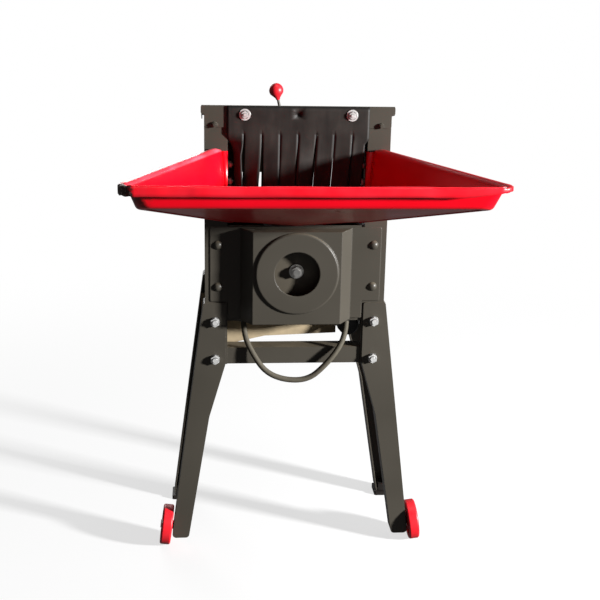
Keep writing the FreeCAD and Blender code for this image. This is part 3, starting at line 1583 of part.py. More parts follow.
# Wheels: moulded rim, web, ribs and hub, turned about x and then leaned with the leg
def wheel():
    w = wheel_width / 2
    hub_end = w - wheel_recess
    rim_in = wheel_radius - wheel_rim
    tyre = rod(wheel_radius, vec(-w, 0, 0), vec(w, 0, 0))
    tyre = tyre.makeFillet(
        wheel_edge, [edge for edge in tyre.Edges if isinstance(edge.Curve, Part.Circle)])
    tread = tyre.cut(rod(rim_in, vec(-wheel_width, 0, 0), vec(wheel_width, 0, 0)))
    web = rod(rim_in + wheel_rim / 2, vec(-wheel_web / 2, 0, 0), vec(wheel_web / 2, 0, 0))
    hub = rod(wheel_hub, vec(-w, 0, 0), vec(hub_end, 0, 0))
    pieces = [tread, web, hub]
    for i in range(wheel_ribs):
        rib = box(
            -w + wheel_rib / 2, hub_end, -wheel_rib / 2, wheel_rib / 2, wheel_hub / 2,
            rim_in + wheel_rim / 2)
        rib.rotate(vec(0, 0, 0), vec(1, 0, 0), 360 * i / wheel_ribs)
        pieces.append(rib)
    body = joined(pieces).cut(rod(axle_radius + run_fit, vec(-wheel_width, 0, 0), vec(wheel_width, 0, 0)))
    body.rotate(vec(0, 0, 0), vec(0, 1, 0), -math.degrees(leg_lean))
    body.translate(wheel_centre)
    return body


right_wheel = wheel()
write("wheel_right", right_wheel)
write("wheel_left", mirrored(right_wheel))


def along_axle(distance):
    return axle_root + axle_line * distance


def axle():
    """Bolt with a collar at the leg, its head in the wheel's recess and a nut inside the leg."""
    far = wheel_off + wheel_width / 2 - wheel_recess + seat_gap
    pieces = [
        rod(axle_radius, along_axle(-steel - bolt_head * 2), along_axle(far + bolt_head / 2)),
        rod(axle_collar, along_axle(0), along_axle(wheel_spacer - seat_gap)),
        rod(axle_collar + steel, along_axle(far), along_axle(far + bolt_washer_thick)),
        hex_bar(
            bolt_hex, along_axle(far + bolt_washer_thick),
            along_axle(far + bolt_washer_thick + bolt_head)),
        hex_bar(bolt_hex, along_axle(-steel - bolt_head), along_axle(-steel)),
    ]
    return joined(pieces)


right_axle = axle()
write("wheel_axles", group([right_axle, mirrored(right_axle)]))


# Cable: straight runs joined by tangent arcs, each arc as large as its runs allow
def route_wire(points):
    places = [FreeCAD.Vector(*p) for p in points]
    edges = []
    radii = []
    last = places[0]
    for i in range(1, len(places) - 1):
        a = places[i - 1] - places[i]
        b = places[i + 1] - places[i]
        shorter = min(a.Length, b.Length)
        a.normalize()
        b.normalize()
        half_turn = (math.pi - math.acos(a.dot(b))) / 2
        reach = 0.45 * shorter
        radius = reach / math.tan(half_turn)
        radii.append(radius)
        start = places[i] + a * reach
        end = places[i] + b * reach
        middle = a + b
        middle.normalize()
        top = places[i] + middle * (radius / math.cos(half_turn) - radius)
        edges.append(Part.LineSegment(last, start).toShape())
        edges.append(Part.Arc(start, top, end).toShape())
        last = end
    edges.append(Part.LineSegment(last, places[-1]).toShape())
    print("cable radii", [round(r, 1) for r in radii])
    return Part.Wire(edges)


def cable():
    path = route_wire(cable_route)
    start = path.Vertexes[0].Point
    direction = FreeCAD.Vector(*cable_route[1]) - FreeCAD.Vector(*cable_route[0])
    section = Part.Wire(Part.makeCircle(cable_diameter / 2, start, direction))
    tube = path.makePipeShell([section], True, False)
    area = math.pi * cable_diameter * cable_diameter / 4
    print(
        "cable length", round(path.Length, 1), "volume ratio",
        round(tube.Volume / (area * path.Length), 4))
    return tube


write("cable_loop", cable())


def gland(end, near):
    """Gland through the wall's hem: nut above, hex below, with a nose along the cable's first run."""
    mouth = FreeCAD.Vector(*end)
    line = mouth - FreeCAD.Vector(*near)
    line.normalize()
    nose = rod(cable_diameter / 2 + steel, mouth, mouth + line * (wall_foot - mouth.z))
    x = mouth.x
    z_low = wall_foot - seat_gap
    body = [
        nose,
        rod(gland_radius, vec(x, gland_y, z_low), vec(x, gland_y, wall_foot + gland_length)),
        hex_bar(gland_hex, vec(x, gland_y, z_low - sheet), vec(x, gland_y, wall_foot)),
        hex_bar(
            gland_hex, vec(x, gland_y, wall_foot + sheet),
            vec(x, gland_y, wall_foot + sheet + screw_head)),
    ]
    return joined(body)


write("cable_glands", group([
    gland(cable_route[0], cable_route[1]),
    gland(cable_route[-1], cable_route[-2]),
]))


# Fasteners
def bolt(point, outward, grip, radius, hexagon, head, washer, washer_thick, nut=True):
    """Hex bolt with its head side at point: washer and nut outside, shank through grip, head inside."""
    pieces = [
        rod(washer, point, point + outward * washer_thick),
        hex_bar(hexagon, point + outward * washer_thick, point + outward * (washer_thick + head)),
        rod(radius, point - outward * grip, point + outward * (washer_thick + head * 3 / 2)),
    ]
    if nut:
        pieces.append(hex_bar(hexagon, point - outward * (grip + head), point - outward * grip))
    return joined(pieces)


leg_bolts = []
for x in (-leg_bolt_half, leg_bolt_half):
    for z in (leg_bolt_high, leg_bolt_low):
        depth = 2 * steel if z == leg_bolt_high else 3 * steel
        front_point = vec(x, -steel, z)
        rear_point = vec(x, body_depth + steel, z)
        leg_bolts.append(
            bolt(
                front_point, vec(0, -1, 0), depth, bolt_radius, bolt_hex, bolt_head, bolt_washer,
                bolt_washer_thick))
        leg_bolts.append(
            bolt(
                rear_point, vec(0, 1, 0), depth, bolt_radius, bolt_hex, bolt_head, bolt_washer,
                bolt_washer_thick))
write("leg_bolts", group(leg_bolts))


def dome_bolt(x, z):
    """Round-headed bolt through cover flange and post, with its nut behind."""
    ball_radius = (dome_radius * dome_radius + dome_rise * dome_rise) / (2 * dome_rise)
    ball = Part.makeSphere(ball_radius, vec(x, -sheet - dome_rise + ball_radius, z))
    head = ball.common(
        box(
            x - dome_radius, x + dome_radius, -sheet - dome_rise, -sheet, z - dome_radius,
            z + dome_radius))
    back = steel + sheet
    shank = rod(bolt_radius, vec(x, -sheet, z), vec(x, back, z))
    nut = hex_bar(bolt_hex, vec(x, back, z), vec(x, back + bolt_head, z))
    return joined([head, shank, nut])


dome_bolts = [
    dome_bolt(x, z) for x in (-dome_bolt_half, dome_bolt_half) for z in (dome_bolt_high, dome_bolt_low)]
write("cover_bolts", group(dome_bolts))

lid_screws = []
for x in (-leg_bolt_half, leg_bolt_half):
    point = vec(x, -lid_sheet, lid_height - lid_front_drop + lid_screw_rise)
    lid_screws.append(
        bolt(
            point, vec(0, -1, 0), lid_sheet + steel, screw_radius, screw_hex, screw_head, screw_hex,
            sheet / 2))
write("lid_screws", group(lid_screws))

curtain_bolts = []
for x in (-curtain_bolt_half, curtain_bolt_half):
    point = vec(x, -lid_sheet - curtain_rubber, curtain_bolt_height)
    grip = lid_sheet + curtain_rubber
    curtain_bolts.append(
        bolt(
            point, vec(0, -1, 0), grip, screw_radius, nut_hex, screw_head, curtain_washer,
            curtain_washer_thick))
write("curtain_bolts", group(curtain_bolts))

tray_bolts = []
for side in (-1, 1):
    for z in (tray_bolt_high, tray_bolt_low):
        point = vec(side * (tray_throat_half - sheet), tray_bolt_y, z)
        inward = vec(-side, 0, 0)
        grip = sheet + seat_gap + steel
        tray_bolts.append(
            bolt(point, inward, grip, screw_radius, nut_hex, nut_height, small_washer, sheet))
write("tray_bolts", group(tray_bolts))

motor_bolts = []
for sx in (-1, 1):
    for sy in (-1, 1):
        x = sx * motor_foot_bolt
        y = motor_front + motor_length / 2 + sy * motor_foot_length / 3
        point = vec(x, y, shelf_top + motor_foot)
        grip = motor_foot + shelf_plate
        motor_bolts.append(
            bolt(
                point, vec(0, 0, 1), grip, motor_foot_hole - run_fit, bolt_hex, screw_head, bolt_hex,
                sheet))
for sx in (-1, 1):
    point = vec(sx * motor_foot_bolt, shelf_y0 + shelf_plate, post_foot + rail_height / 3)
    motor_bolts.append(
        bolt(
            point, vec(0, 1, 0), shelf_plate, screw_radius, screw_hex, screw_head, screw_hex, sheet,
            False))
write("motor_bolts", group(motor_bolts))
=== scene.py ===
import math

import bmesh
import bpy
import numpy as np
from mathutils import Matrix, Vector


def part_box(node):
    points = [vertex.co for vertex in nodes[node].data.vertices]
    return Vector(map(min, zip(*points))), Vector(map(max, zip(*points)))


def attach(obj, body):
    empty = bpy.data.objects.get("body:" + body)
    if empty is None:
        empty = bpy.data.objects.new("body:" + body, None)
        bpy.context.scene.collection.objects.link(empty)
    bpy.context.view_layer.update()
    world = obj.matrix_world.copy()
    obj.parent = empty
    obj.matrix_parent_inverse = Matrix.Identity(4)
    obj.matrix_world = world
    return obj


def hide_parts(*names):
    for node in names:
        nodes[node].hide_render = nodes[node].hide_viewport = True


# Household corn sheller, in metres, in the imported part's frame: +Z up, the feed tray faces -Y.
# Rigid pieces are carried over from the part; the tray's sheet, the rubber curtain, the ball and
# the cable are made here. Heights are taken from the floor.
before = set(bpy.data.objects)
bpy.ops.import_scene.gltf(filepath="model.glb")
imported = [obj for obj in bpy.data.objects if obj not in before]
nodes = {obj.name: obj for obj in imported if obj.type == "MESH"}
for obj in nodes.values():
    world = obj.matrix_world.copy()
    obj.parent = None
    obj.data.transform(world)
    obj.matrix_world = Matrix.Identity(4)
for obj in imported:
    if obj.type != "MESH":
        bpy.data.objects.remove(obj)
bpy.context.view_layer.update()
mm = 0.001
post_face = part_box("post_front_left")[0].y


# Camera: 2.1 m before the posts, a little to the machine's left and above its lid, behind a
# 66 mm lens; it is turned, tipped down and rolled, in degrees, as the photograph was taken
lens = 66.0
sensor = 36.0
eye_place = Vector((-183.6, -2131.7, 1173.6)) * mm + Vector((0, post_face, 0))
eye_turn = 5.19
eye_dip = 16.29
eye_roll = 1.18
level_tip = 90.0

camera_data = bpy.data.cameras.new("camera")
camera_data.lens = lens
camera_data.sensor_width = sensor
camera = bpy.data.objects.new("camera", camera_data)
turned_right = Matrix.Rotation(math.radians(-eye_turn), 4, "Z")
tipped_down = Matrix.Rotation(math.radians(level_tip - eye_dip), 4, "X")
rolled = Matrix.Rotation(math.radians(eye_roll), 4, "Z")
camera.matrix_world = Matrix.Translation(eye_place) @ turned_right @ tipped_down @ rolled
bpy.context.scene.collection.objects.link(camera)
bpy.context.scene.camera = camera
bpy.context.scene.view_settings.view_transform = "Standard"


# Studio: a pale paper floor that fades into a white backdrop, which is dim in gloss and dimmer as
# light, so that shadows stay dark; a small hard lamp low on the right, a wide one behind on the
# left and a weak one overhead
floor_half = 12.0
floor_near = 0.4
floor_far = 2.4
floor_least = 0.66
floor_bounce = 0.17
paper_white = 0.92
sky_fill = 0.03
sky_sheen = 0.12
aim_height = 0.6
key_bearing = 62.0
key_distance = 4.2
key_height = 1.5
key_size = 0.4
key_power = 570.0
rim_bearing = 195.0
rim_lamp_height = 1.9
rim_size = 2.2
rim_power = 70.0
top_distance = 0.4
top_height = 3.2
top_size = 1.6
top_power = 14.0
white = (1.0, 1.0, 1.0, 1.0)
screen_most = 255
screen_gamma = 2.2


class Wire:
    """An output of a node. Arithmetic on it adds Math nodes to its tree."""

    def __init__(self, bench, socket):
        self.bench = bench
        self.socket = socket

    def math(self, operation, *values):
        return self.bench.node("ShaderNodeMath", {"operation": operation}, dict(enumerate(values)))

    def __add__(self, other):
        return self.math("ADD", self, other)

    def __radd__(self, other):
        return self.math("ADD", other, self)

    def __sub__(self, other):
        return self.math("SUBTRACT", self, other)

    def __rsub__(self, other):
        return self.math("SUBTRACT", other, self)

    def __mul__(self, other):
        return self.math("MULTIPLY", self, other)

    def __rmul__(self, other):
        return self.math("MULTIPLY", other, self)

    def __neg__(self):
        return 0 - self

    def most(self, other):
        """The larger of the two."""
        return self.math("MAXIMUM", self, other)

    def step(self, low, high):
        """0 below low and 1 above high, with a smooth rise between them."""
        return self.bench.node(
            "ShaderNodeMapRange", {"interpolation_type": "SMOOTHSTEP"},
            {"Value": self, "From Min": low, "From Max": high})


class Bench:
    """A tree of shader nodes, to which every node is added by the same method."""

    def __init__(self, tree):
        self.tree = tree

    def node(self, kind, settings=None, inputs=None, output=0):
        """Adds one node: its settings by name, its inputs by socket, values or wires."""
        made = self.tree.nodes.new(kind)
        for key, value in (settings or {}).items():
            setattr(made, key, value)
        self.feed(made, inputs or {})
        return Wire(self, made.outputs[output])

    def feed(self, node, inputs):
        """Sets or links the inputs of a node."""
        for key, value in inputs.items():
            if isinstance(value, Wire):
                self.tree.links.new(value.socket, node.inputs[key])
            else:
                node.inputs[key].default_value = value


class Paint(Bench):
    """A material, its shader and the patterns that its finish is made of."""

    edge_samples = 6

    def __init__(self, name):
        self.material = bpy.data.materials.new(name)
        self.material.use_nodes = True
        super().__init__(self.material.node_tree)
        self.place = self.node("ShaderNodeTexCoord", output="Object")

    def noise(self, size, detail=2.0, stretch=(1, 1, 1), seed=0.0):
        """Clouds from 0 to 1 whose lumps are about size across, longer where stretch is small."""
        moved = self.node(
            "ShaderNodeMapping", {},
            {"Vector": self.place, "Location": (seed, seed, seed), "Scale": stretch})
        return self.node(
            "ShaderNodeTexNoise", {}, {"Vector": moved, "Scale": 1 / size, "Detail": detail})

    def mix(self, share, a, b):
        """Colour a turning to colour b as share goes from 0 to 1."""
        return self.node(
            "ShaderNodeMix", {"data_type": "RGBA"}, {0: share, 6: a, 7: b}, 2)

    def rounded(self, radius):
        """The normal of a surface whose edges are rounded by a radius."""
        return self.node("ShaderNodeBevel", {"samples": self.edge_samples}, {"Radius": radius})

    def bump(self, height, depth, rounding=0.0):
        """A normal from a height of 0 to 1, depth deep, over edges rounded by a radius."""
        inputs = {"Height": height, "Distance": depth}
        if rounding:
            inputs["Normal"] = self.rounded(rounding)
        return self.node("ShaderNodeBump", {}, inputs)

    def edges(self, radius):
        """Rises above 0 within radius of an edge, where a rounded normal leaves the true one."""
        true = self.node("ShaderNodeNewGeometry", output="True Normal")
        along = self.node(
            "ShaderNodeVectorMath", {"operation": "DOT_PRODUCT"},
            {0: self.rounded(radius), 1: true}, "Value")
        return 1 - along

    def upward(self):
        """How far the surface faces up, from -1 to 1."""
        normal = self.node("ShaderNodeNewGeometry", output="Normal")
        return self.node("ShaderNodeSeparateXYZ", {}, {"Vector": normal}, "Z")

    def painted(self, attribute):
        """The value that the mesh carries under this name."""
        return self.node("ShaderNodeAttribute", {"attribute_name": attribute}, output="Fac")

    def finish(self, inputs):
        """Feeds the shader and gives the material."""
        self.feed(self.tree.nodes["Principled BSDF"], inputs)
        return self.material


def ink(red, green, blue):
    """A colour from its screen values, 0 to 255."""
    return tuple((c / screen_most) ** screen_gamma for c in (red, green, blue)) + (1.0,)


def solid(name, points, faces, material):
    """A smooth mesh object from an array of points and a list of faces, standing where they are."""
    mesh = bpy.data.meshes.new(name)
    mesh.from_pydata(np.asarray(points, float).tolist(), [], faces)
    mesh.polygons.foreach_set("use_smooth", [True] * len(mesh.polygons))
    mesh.materials.append(material)
    made = bpy.data.objects.new(name, mesh)
    bpy.context.scene.collection.objects.link(made)
    return made


def lamp(name, bearing, distance, height, size, power):
    """A square lamp that looks at the machine; bearing 0 is in front of it, 90 on its right."""
    data = bpy.data.lights.new(name, "AREA")
    data.size = size
    data.energy = power
    made = bpy.data.objects.new(name, data)
    a = math.radians(bearing)
    made.location = (distance * math.sin(a), -distance * math.cos(a), height)
    aim = Vector((0, 0, aim_height)) - made.location
    made.rotation_euler = aim.to_track_quat("-Z", "Y").to_euler()
    bpy.context.scene.collection.objects.link(made)


lamp("key_lamp", key_bearing, key_distance, key_height, key_size, key_power)
lamp("rim_lamp", rim_bearing, key_distance, rim_lamp_height, rim_size, rim_power)
lamp("top_lamp", key_bearing, top_distance, top_height, top_size, top_power)

world = bpy.data.worlds.new("backdrop")
world.use_nodes = True
bpy.context.scene.world = world
sky = Bench(world.node_tree)


def sky_level(ray, most):
    """The backdrop's strength: most for this kind of ray, sky_fill for all others."""
    is_ray = sky.node("ShaderNodeLightPath", output=ray)
    return sky.node(
        "ShaderNodeMapRange", {}, {"Value": is_ray, "To Min": sky_fill, "To Max": most})


sky_strength = sky_level("Is Camera Ray", 1.0).most(sky_level("Is Transmission Ray", 1.0))
sky_strength = sky_strength.most(sky_level("Is Glossy Ray", sky_sheen))
sky.feed(world.node_tree.nodes["Background"], {"Color": white, "Strength": sky_strength})

paper = Paint("backdrop_paper")
seen = paper.node("ShaderNodeLightPath", output="Is Camera Ray")
gloss = paper.node("ShaderNodeLightPath", output="Is Glossy Ray")
away = paper.node("ShaderNodeVectorMath", {"operation": "LENGTH"}, {0: paper.place}, "Value")
glow_strength = sky_fill + (1 - sky_fill) * seen + (sky_sheen - sky_fill) * gloss
glow = paper.node("ShaderNodeEmission", {}, {"Color": white, "Strength": glow_strength})
bounced_tone = (floor_bounce, floor_bounce, floor_bounce, 1)
seen_tone = (paper_white, paper_white, paper_white, 1)
sheet = paper.node(
    "ShaderNodeBsdfDiffuse", {}, {"Color": paper.mix(seen, bounced_tone, seen_tone)})
fade = floor_least + (1 - floor_least) * away.step(floor_near, floor_far)
paper.feed(paper.tree.nodes["Material Output"], {
    "Surface": paper.node("ShaderNodeMixShader", {}, {0: fade, 1: sheet, 2: glow})})
floor_corners = np.array([(-1, -1, 0), (1, -1, 0), (1, 1, 0), (-1, 1, 0)]) * floor_half
solid("floor", floor_corners, [(0, 1, 2, 3)], paper.material)


# Painted steel body: angle posts, pressed legs, walls, lid, guards and the outlet's gate, folded
# from sheet, bolted up and sprayed charcoal; the paint is chipped in flecks along the edges
body_nodes = (
    "post_front_left", "post_front_right", "post_rear_left", "post_rear_right",
    "leg_front_left", "leg_front_right", "leg_rear_left", "leg_rear_right",
    "cross_member_front", "cross_member_rear", "front_wall", "rear_wall",
    "side_panel_left", "side_panel_right", "cheek_left", "cheek_right", "roof_lid",
    "motor_shelf", "belt_guard", "outlet_gate", "gate_lever", "gate_lugs", "tray_brackets")
sheet_edge = 0.8 * mm
charcoal_dark = ink(59, 56, 50)
charcoal_light = ink(75, 71, 64)
corn_dust = ink(176, 158, 128)
bare_steel = ink(120, 112, 104)
shade_size = 180 * mm
grain_size = 1.1 * mm
grain_depth = 0.03 * mm
fleck_size = 7 * mm
dust_size = 30 * mm
chip_reach = 1.2 * mm


def sprayed(name, rounding, dust_share, chip_share=1.0):
    """Charcoal paint with edges rounded by a radius, its shares of dust film and chipped edge."""
    paint = Paint(name)
    shade = paint.noise(shade_size, 2.0)
    grain = paint.noise(grain_size, 2.0, seed=3.0)
    flecks = paint.noise(fleck_size, 4.0, seed=5.0).step(0.54, 0.62)
    chip = chip_share * paint.edges(chip_reach).step(0.06, 0.3) * flecks
    cloud = paint.noise(dust_size, 5.0, seed=8.0)
    settled = 0.25 * paint.upward().step(0.3, 1.0) * cloud
    dust = dust_share * (0.55 + 0.9 * cloud) + settled
    colour = paint.mix(shade, charcoal_dark, charcoal_light)
    colour = paint.mix(dust, colour, corn_dust)
    return paint.finish({
        "Base Color": paint.mix(chip, colour, bare_steel),
        "Roughness": 0.3 + 0.2 * shade + 0.3 * dust,
        "Metallic": 0.4 * chip,
        "Specular IOR Level": 0.35,
        "Normal": paint.bump(grain, grain_depth, rounding)})


def coat(names, material):
    """Gives carried-over CAD nodes their material."""
    for name in names:
        slots = nodes[name].data.materials
        slots.clear()
        slots.append(material)


charcoal = sprayed("charcoal_paint", sheet_edge, 0.0)
coat(body_nodes, charcoal)


# Drum, concave, kernel chute and cob spout: the painted steel that grain and cobs run over, so
# that a film of corn dust lies on all of it
grain_dust_share = 0.8

coat(
    ("kernel_chute", "cob_spout", "concave", "threshing_drum"),
    sprayed("dusty_paint", sheet_edge, grain_dust_share))


# Fan: a bladed impeller on the front end of the shaft, behind a cover pressed from one sheet with
# soft edges; the cover's dome bolts and the lid's two screws are sprayed with the body
cover_edge = 3.0 * mm
screw_edge = 0.5 * mm
impeller_dust_share = 0.05

coat(("fan_cover",), sprayed("cover_paint", cover_edge, 0.0, 0.0))
coat(
    ("fan_impeller",), sprayed("impeller_paint", sheet_edge, impeller_dust_share))
coat(("cover_bolts", "lid_screws"), sprayed("bolt_paint", screw_edge, 0.0))


# Shafts: the main shaft with its nut, the motor's shaft and the drum's pegs, turned from bright
# steel bar and left bare
turned_dark = ink(166, 164, 160)
turned_light = ink(212, 210, 206)
turning_size = 5 * mm
tarnish_size = 9 * mm

bright = Paint("turned_steel")
bright.finish({
    "Base Color": bright.mix(bright.noise(turning_size), turned_dark, turned_light),
    "Metallic": 0.95,
    "Roughness": 0.28 + 0.15 * bright.noise(tarnish_size)})
coat(("main_shaft", "shaft_nut", "motor_shaft", "drum_pegs"), bright.material)


# Bearings and pulleys: grey iron castings with a sandy skin, bored for the shafts; the bearings'
# flanges are fixed to the front and rear walls
iron_dark = ink(64, 64, 66)
iron_light = ink(98, 98, 100)
iron_cloud_size = 6 * mm
iron_gloss_size = 5 * mm
sand_size = 1.5 * mm
sand_depth = 0.1 * mm
cast_edge = 0.8 * mm

iron = Paint("grey_iron")
iron.finish({
    "Base Color": iron.mix(iron.noise(iron_cloud_size), iron_dark, iron_light),
    "Metallic": 0.5,
    "Roughness": 0.5 + 0.2 * iron.noise(iron_gloss_size),
    "Normal": iron.bump(iron.noise(sand_size), sand_depth, cast_edge)})
coat(
    ("front_bearing", "rear_bearing", "driven_pulley", "motor_pulley"),
    iron.material)


# Motor: a finned barrel between two end bells, die-cast in aluminium and bolted to its shelf by
# two feet; the cowl over its fan is pressed steel in the body's paint
alloy_dark = ink(128, 131, 134)
alloy_light = ink(168, 170, 172)
alloy_cloud_size = 20 * mm
alloy_gloss_size = 14 * mm
alloy_skin_size = 1.5 * mm
alloy_skin_depth = 0.06 * mm

alloy = Paint("motor_alloy")
alloy.finish({
    "Base Color": alloy.mix(alloy.noise(alloy_cloud_size), alloy_dark, alloy_light),
    "Metallic": 0.6,
    "Roughness": 0.4 + 0.2 * alloy.noise(alloy_gloss_size),
    "Normal": alloy.bump(alloy.noise(alloy_skin_size), alloy_skin_depth, cast_edge)})
coat(("motor_frame",), alloy.material)
coat(("motor_cowl",), charcoal)


# Feed tray: one steel sheet pressed into a bed and three walls with a rolled lip, bolted between
# the posts by its tongues and sprayed glossy red; its lip is dented and crumpled at the corners,
# where the paint is worn and painted with shade and glints, most on the left; the wall below the
# left corner is painted brown as shade, and the rim carries a painted pink highlight
tray_low, tray_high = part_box("feed_tray")
rim_reach = tray_low.y
rim_height = tray_high.z
rim_half = 333.0 * mm
rim_root_half = 164.5 * mm
rim_corner = 28.0 * mm
lip_width = 11.5 * mm
lip_drop = 16.0 * mm
lip_bend = 8.0 * mm
edge_bend = 4.0 * mm
wall_half = 312.3 * mm
wall_root_half = 149.0 * mm
wall_corner = 14.0 * mm
bed_setback = 20.0 * mm
bed_half = 302.0 * mm
bed_root_half = 136.7 * mm
bed_corner = 24.0 * mm
bed_drop = 37.0 * mm
bed_root_drop = 147.5 * mm
bed_dish = 8.0 * mm
bed_dish_power = 1.2
bed_bend = 6.0 * mm
bed_margin = 12.0 * mm
bed_side_margin = 16.8 * mm
bed_inner_corner = 18.0 * mm
tray_sheet = 1.5 * mm
tray_root = post_face - tray_sheet
tongue_reach = 31.5 * mm
tongue_top_drop = 7.0 * mm
tongue_inset = 0.6 * mm
side_steps = 30
corner_steps = 14
front_steps = 26
flat_rows = 3
bend_rows = 6
end_rows = 2

# Damage to the lip: a reach is measured from a corner, the waves are in radians for each column
# of points, and a dent is its middle and half its width across the machine, in mm
crumple_reach = 62.0 * mm
crumple_fold = 3.0 * mm
crumple_rise = 1.5 * mm
right_crumple_share = 0.6
long_wave = 1.7
short_wave = 3.1
short_wave_share = 0.6
flattened_reach = 95.0 * mm
flattened_share = 0.7
dents = ((196, 12), (236, 20), (-213, 8), (-234, 9), (-120, 50), (40, 60))
dent_depth = 1.6 * mm
dent_fall_share = 0.6
dent_strip = 20.0 * mm
root_drop = 3.0 * mm
root_reach = 12.0 * mm
# Painted shade on the wall below the left corner fades to nothing this far from it
left_wall_shade_reach = 95.0 * mm
# Painted pink highlight on the rim: it rises to full along the left side over this length from the
# bed's front, and is this share of full along the rest of the lip
highlight_rise = 30.0 * mm
front_highlight_share = 0.14

red_deep = ink(220, 0, 24)
red_light = ink(236, 0, 36)
grime_brown = ink(120, 60, 44)
# painted highlight on the rim
highlight_pink = ink(255, 130, 150)
# painted shade on the wall below the left corner
shade_brown = ink(62, 42, 35)
# worn paint and painted shade on the crumpled corners, with pale flecks of bare metal and painted
# glints on them
worn_shade_brown = ink(66, 40, 36)
pale_glint_fleck = ink(168, 152, 146)
# paler streaks underneath: stains and painted reflection
underside_stain_reflection = ink(150, 40, 40)
haze_size = 90 * mm
peel_size = 1.4 * mm
peel_depth = 0.02 * mm
mottle_size = 5 * mm
glint_fleck_size = 3.6 * mm
highlight_size = 70 * mm
grime_size = 60 * mm
streak_size = 7 * mm
streak_stretch = (0.02, 1.0, 1.0)


def rim_line(reach, half, root_half, corner):
    """The tray's outline from above, from the rear right round the front to the rear left.

    Straight from (root_half, root) towards the apex (half, reach), round an arc of radius
    corner that touches both edges there, straight to the middle, and the same mirrored."""
    apex = np.array((half, reach))
    root = np.array((root_half, tray_root))
    side = (root - apex) / np.linalg.norm(root - apex)
    ahead = np.array((-1.0, 0.0))
    half_angle = math.acos(side @ ahead) / 2
    run = corner / math.tan(half_angle)
    middle = (side + ahead) / np.linalg.norm(side + ahead)
    centre = apex + middle * corner / math.sin(half_angle)
    first = apex + side * run - centre
    last = apex + ahead * run - centre
    a = np.linspace(math.atan2(first[1], first[0]), math.atan2(last[1], last[0]), corner_steps)
    arc = centre + corner * np.stack([np.cos(a), np.sin(a)], 1)
    t = np.linspace(0, 1, side_steps, endpoint=False)[:, None]
    u = np.linspace(0, 1, front_steps + 1)[1:, None]
    to_middle = arc[-1] + (np.array((0.0, reach)) - arc[-1]) * u
    right_half = np.concatenate([root + (arc[0] - root) * t, arc, to_middle])
    return np.concatenate([right_half, right_half[-2::-1] * (-1, 1)])


def at_height(line, z):
    """A line seen from above, put at one height or at a height for each of its points."""
    return np.concatenate([line, np.broadcast_to(z, (len(line), 1))], 1)


def bed_height(line):
    """Heights of the bed along a line, rising evenly from the root to the front."""
    share = (line[:, 1:] - tray_root) / (bed_front - tray_root)
    return rim_height - bed_root_drop + (bed_root_drop - bed_drop) * share


def bent(corners, bends):
    """Rows of a sheet folded along several lines: A + (B - A) t along each flat, and at each fold
    P the curve (1-t)^2 A + 2t(1-t) P + t^2 C, where A and C lie a bend's length along the flats
    on either side of it."""
    along = np.arange(1, flat_rows + 1)[:, None, None] / (flat_rows + 1)
    t = np.linspace(0, 1, bend_rows)[:, None, None]
    to_end = np.arange(1, end_rows + 1)[:, None, None] / end_rows
    strips = [corners[0][None]]
    for before, fold, after, bend in zip(corners, corners[1:], corners[2:], bends):
        a = fold + bend * (before - fold) / np.linalg.norm(before - fold, axis=1, keepdims=True)
        c = fold + bend * (after - fold) / np.linalg.norm(after - fold, axis=1, keepdims=True)
        last = strips[-1][-1]
        strips.append(last + (a - last) * along)
        strips.append((1 - t) ** 2 * a + 2 * t * (1 - t) * fold + t * t * c)
    last = strips[-1][-1]
    strips.append(last + (corners[-1] - last) * to_end)
    return np.concatenate(strips)


def grid_faces(row_count, column_count, start=0):
    """Quads between the neighbours of a grid of points stored row by row."""
    r, c = np.meshgrid(np.arange(row_count - 1), np.arange(column_count - 1), indexing="ij")
    corner = (start + r * column_count + c).ravel()
    return np.stack([corner, corner + 1, corner + column_count + 1, corner + column_count], 1)


def near(distance, reach):
    """1 at no distance, falling evenly to 0 at the reach."""
    return np.clip(1 - distance / reach, 0, 1)


def risen(start, row_count):
    """0 up to one row of the tray's sides, then rising evenly to 1 over some rows."""
    return np.clip((np.arange(len(sides)) - start) / row_count, 0, 1)[:, None]


def merged(made, distance=1e-6):
    """Joins points of a mesh that lie together."""
    work = bmesh.new()
    work.from_mesh(made.data)
    bmesh.ops.remove_doubles(work, verts=work.verts, dist=distance)
    work.to_mesh(made.data)
    work.free()
    return made


def thickened(made, thickness, offset=-1.0):
    """Gives a single sheet its thickness."""
    wall = made.modifiers.new("thickness", "SOLIDIFY")
    wall.thickness = thickness
    wall.offset = offset
    return made


# Sides of the tray: from the bed's margin up the walls, over the lip and down its edge
bed_front = rim_reach + bed_setback
inner_line = rim_line(
    bed_front + bed_margin, bed_half - bed_side_margin, bed_root_half - bed_margin,
    bed_inner_corner)
bed_line = rim_line(bed_front, bed_half, bed_root_half, bed_corner)
wall_line = rim_line(rim_reach + lip_width, wall_half, wall_root_half, wall_corner)
lip_line = rim_line(rim_reach, rim_half, rim_root_half, rim_corner)
sides = bent(
    [at_height(inner_line, bed_height(inner_line)), at_height(bed_line, bed_height(bed_line)),
     at_height(wall_line, rim_height), at_height(lip_line, rim_height),
     at_height(lip_line, rim_height - lip_drop)],
    [bed_bend, lip_bend, edge_bend])
side_columns = sides.shape[1]
wall_row = 1 + flat_rows
lip_row = wall_row + bend_rows + flat_rows
edge_row = lip_row + bend_rows + flat_rows
on_wall = np.minimum(risen(wall_row, flat_rows), 1 - risen(lip_row - 1, flat_rows))
on_lip = risen(lip_row - 2, bend_rows)
on_edge = risen(edge_row - flat_rows, flat_rows + 1)
on_left = sides[:, :, 0] < 0

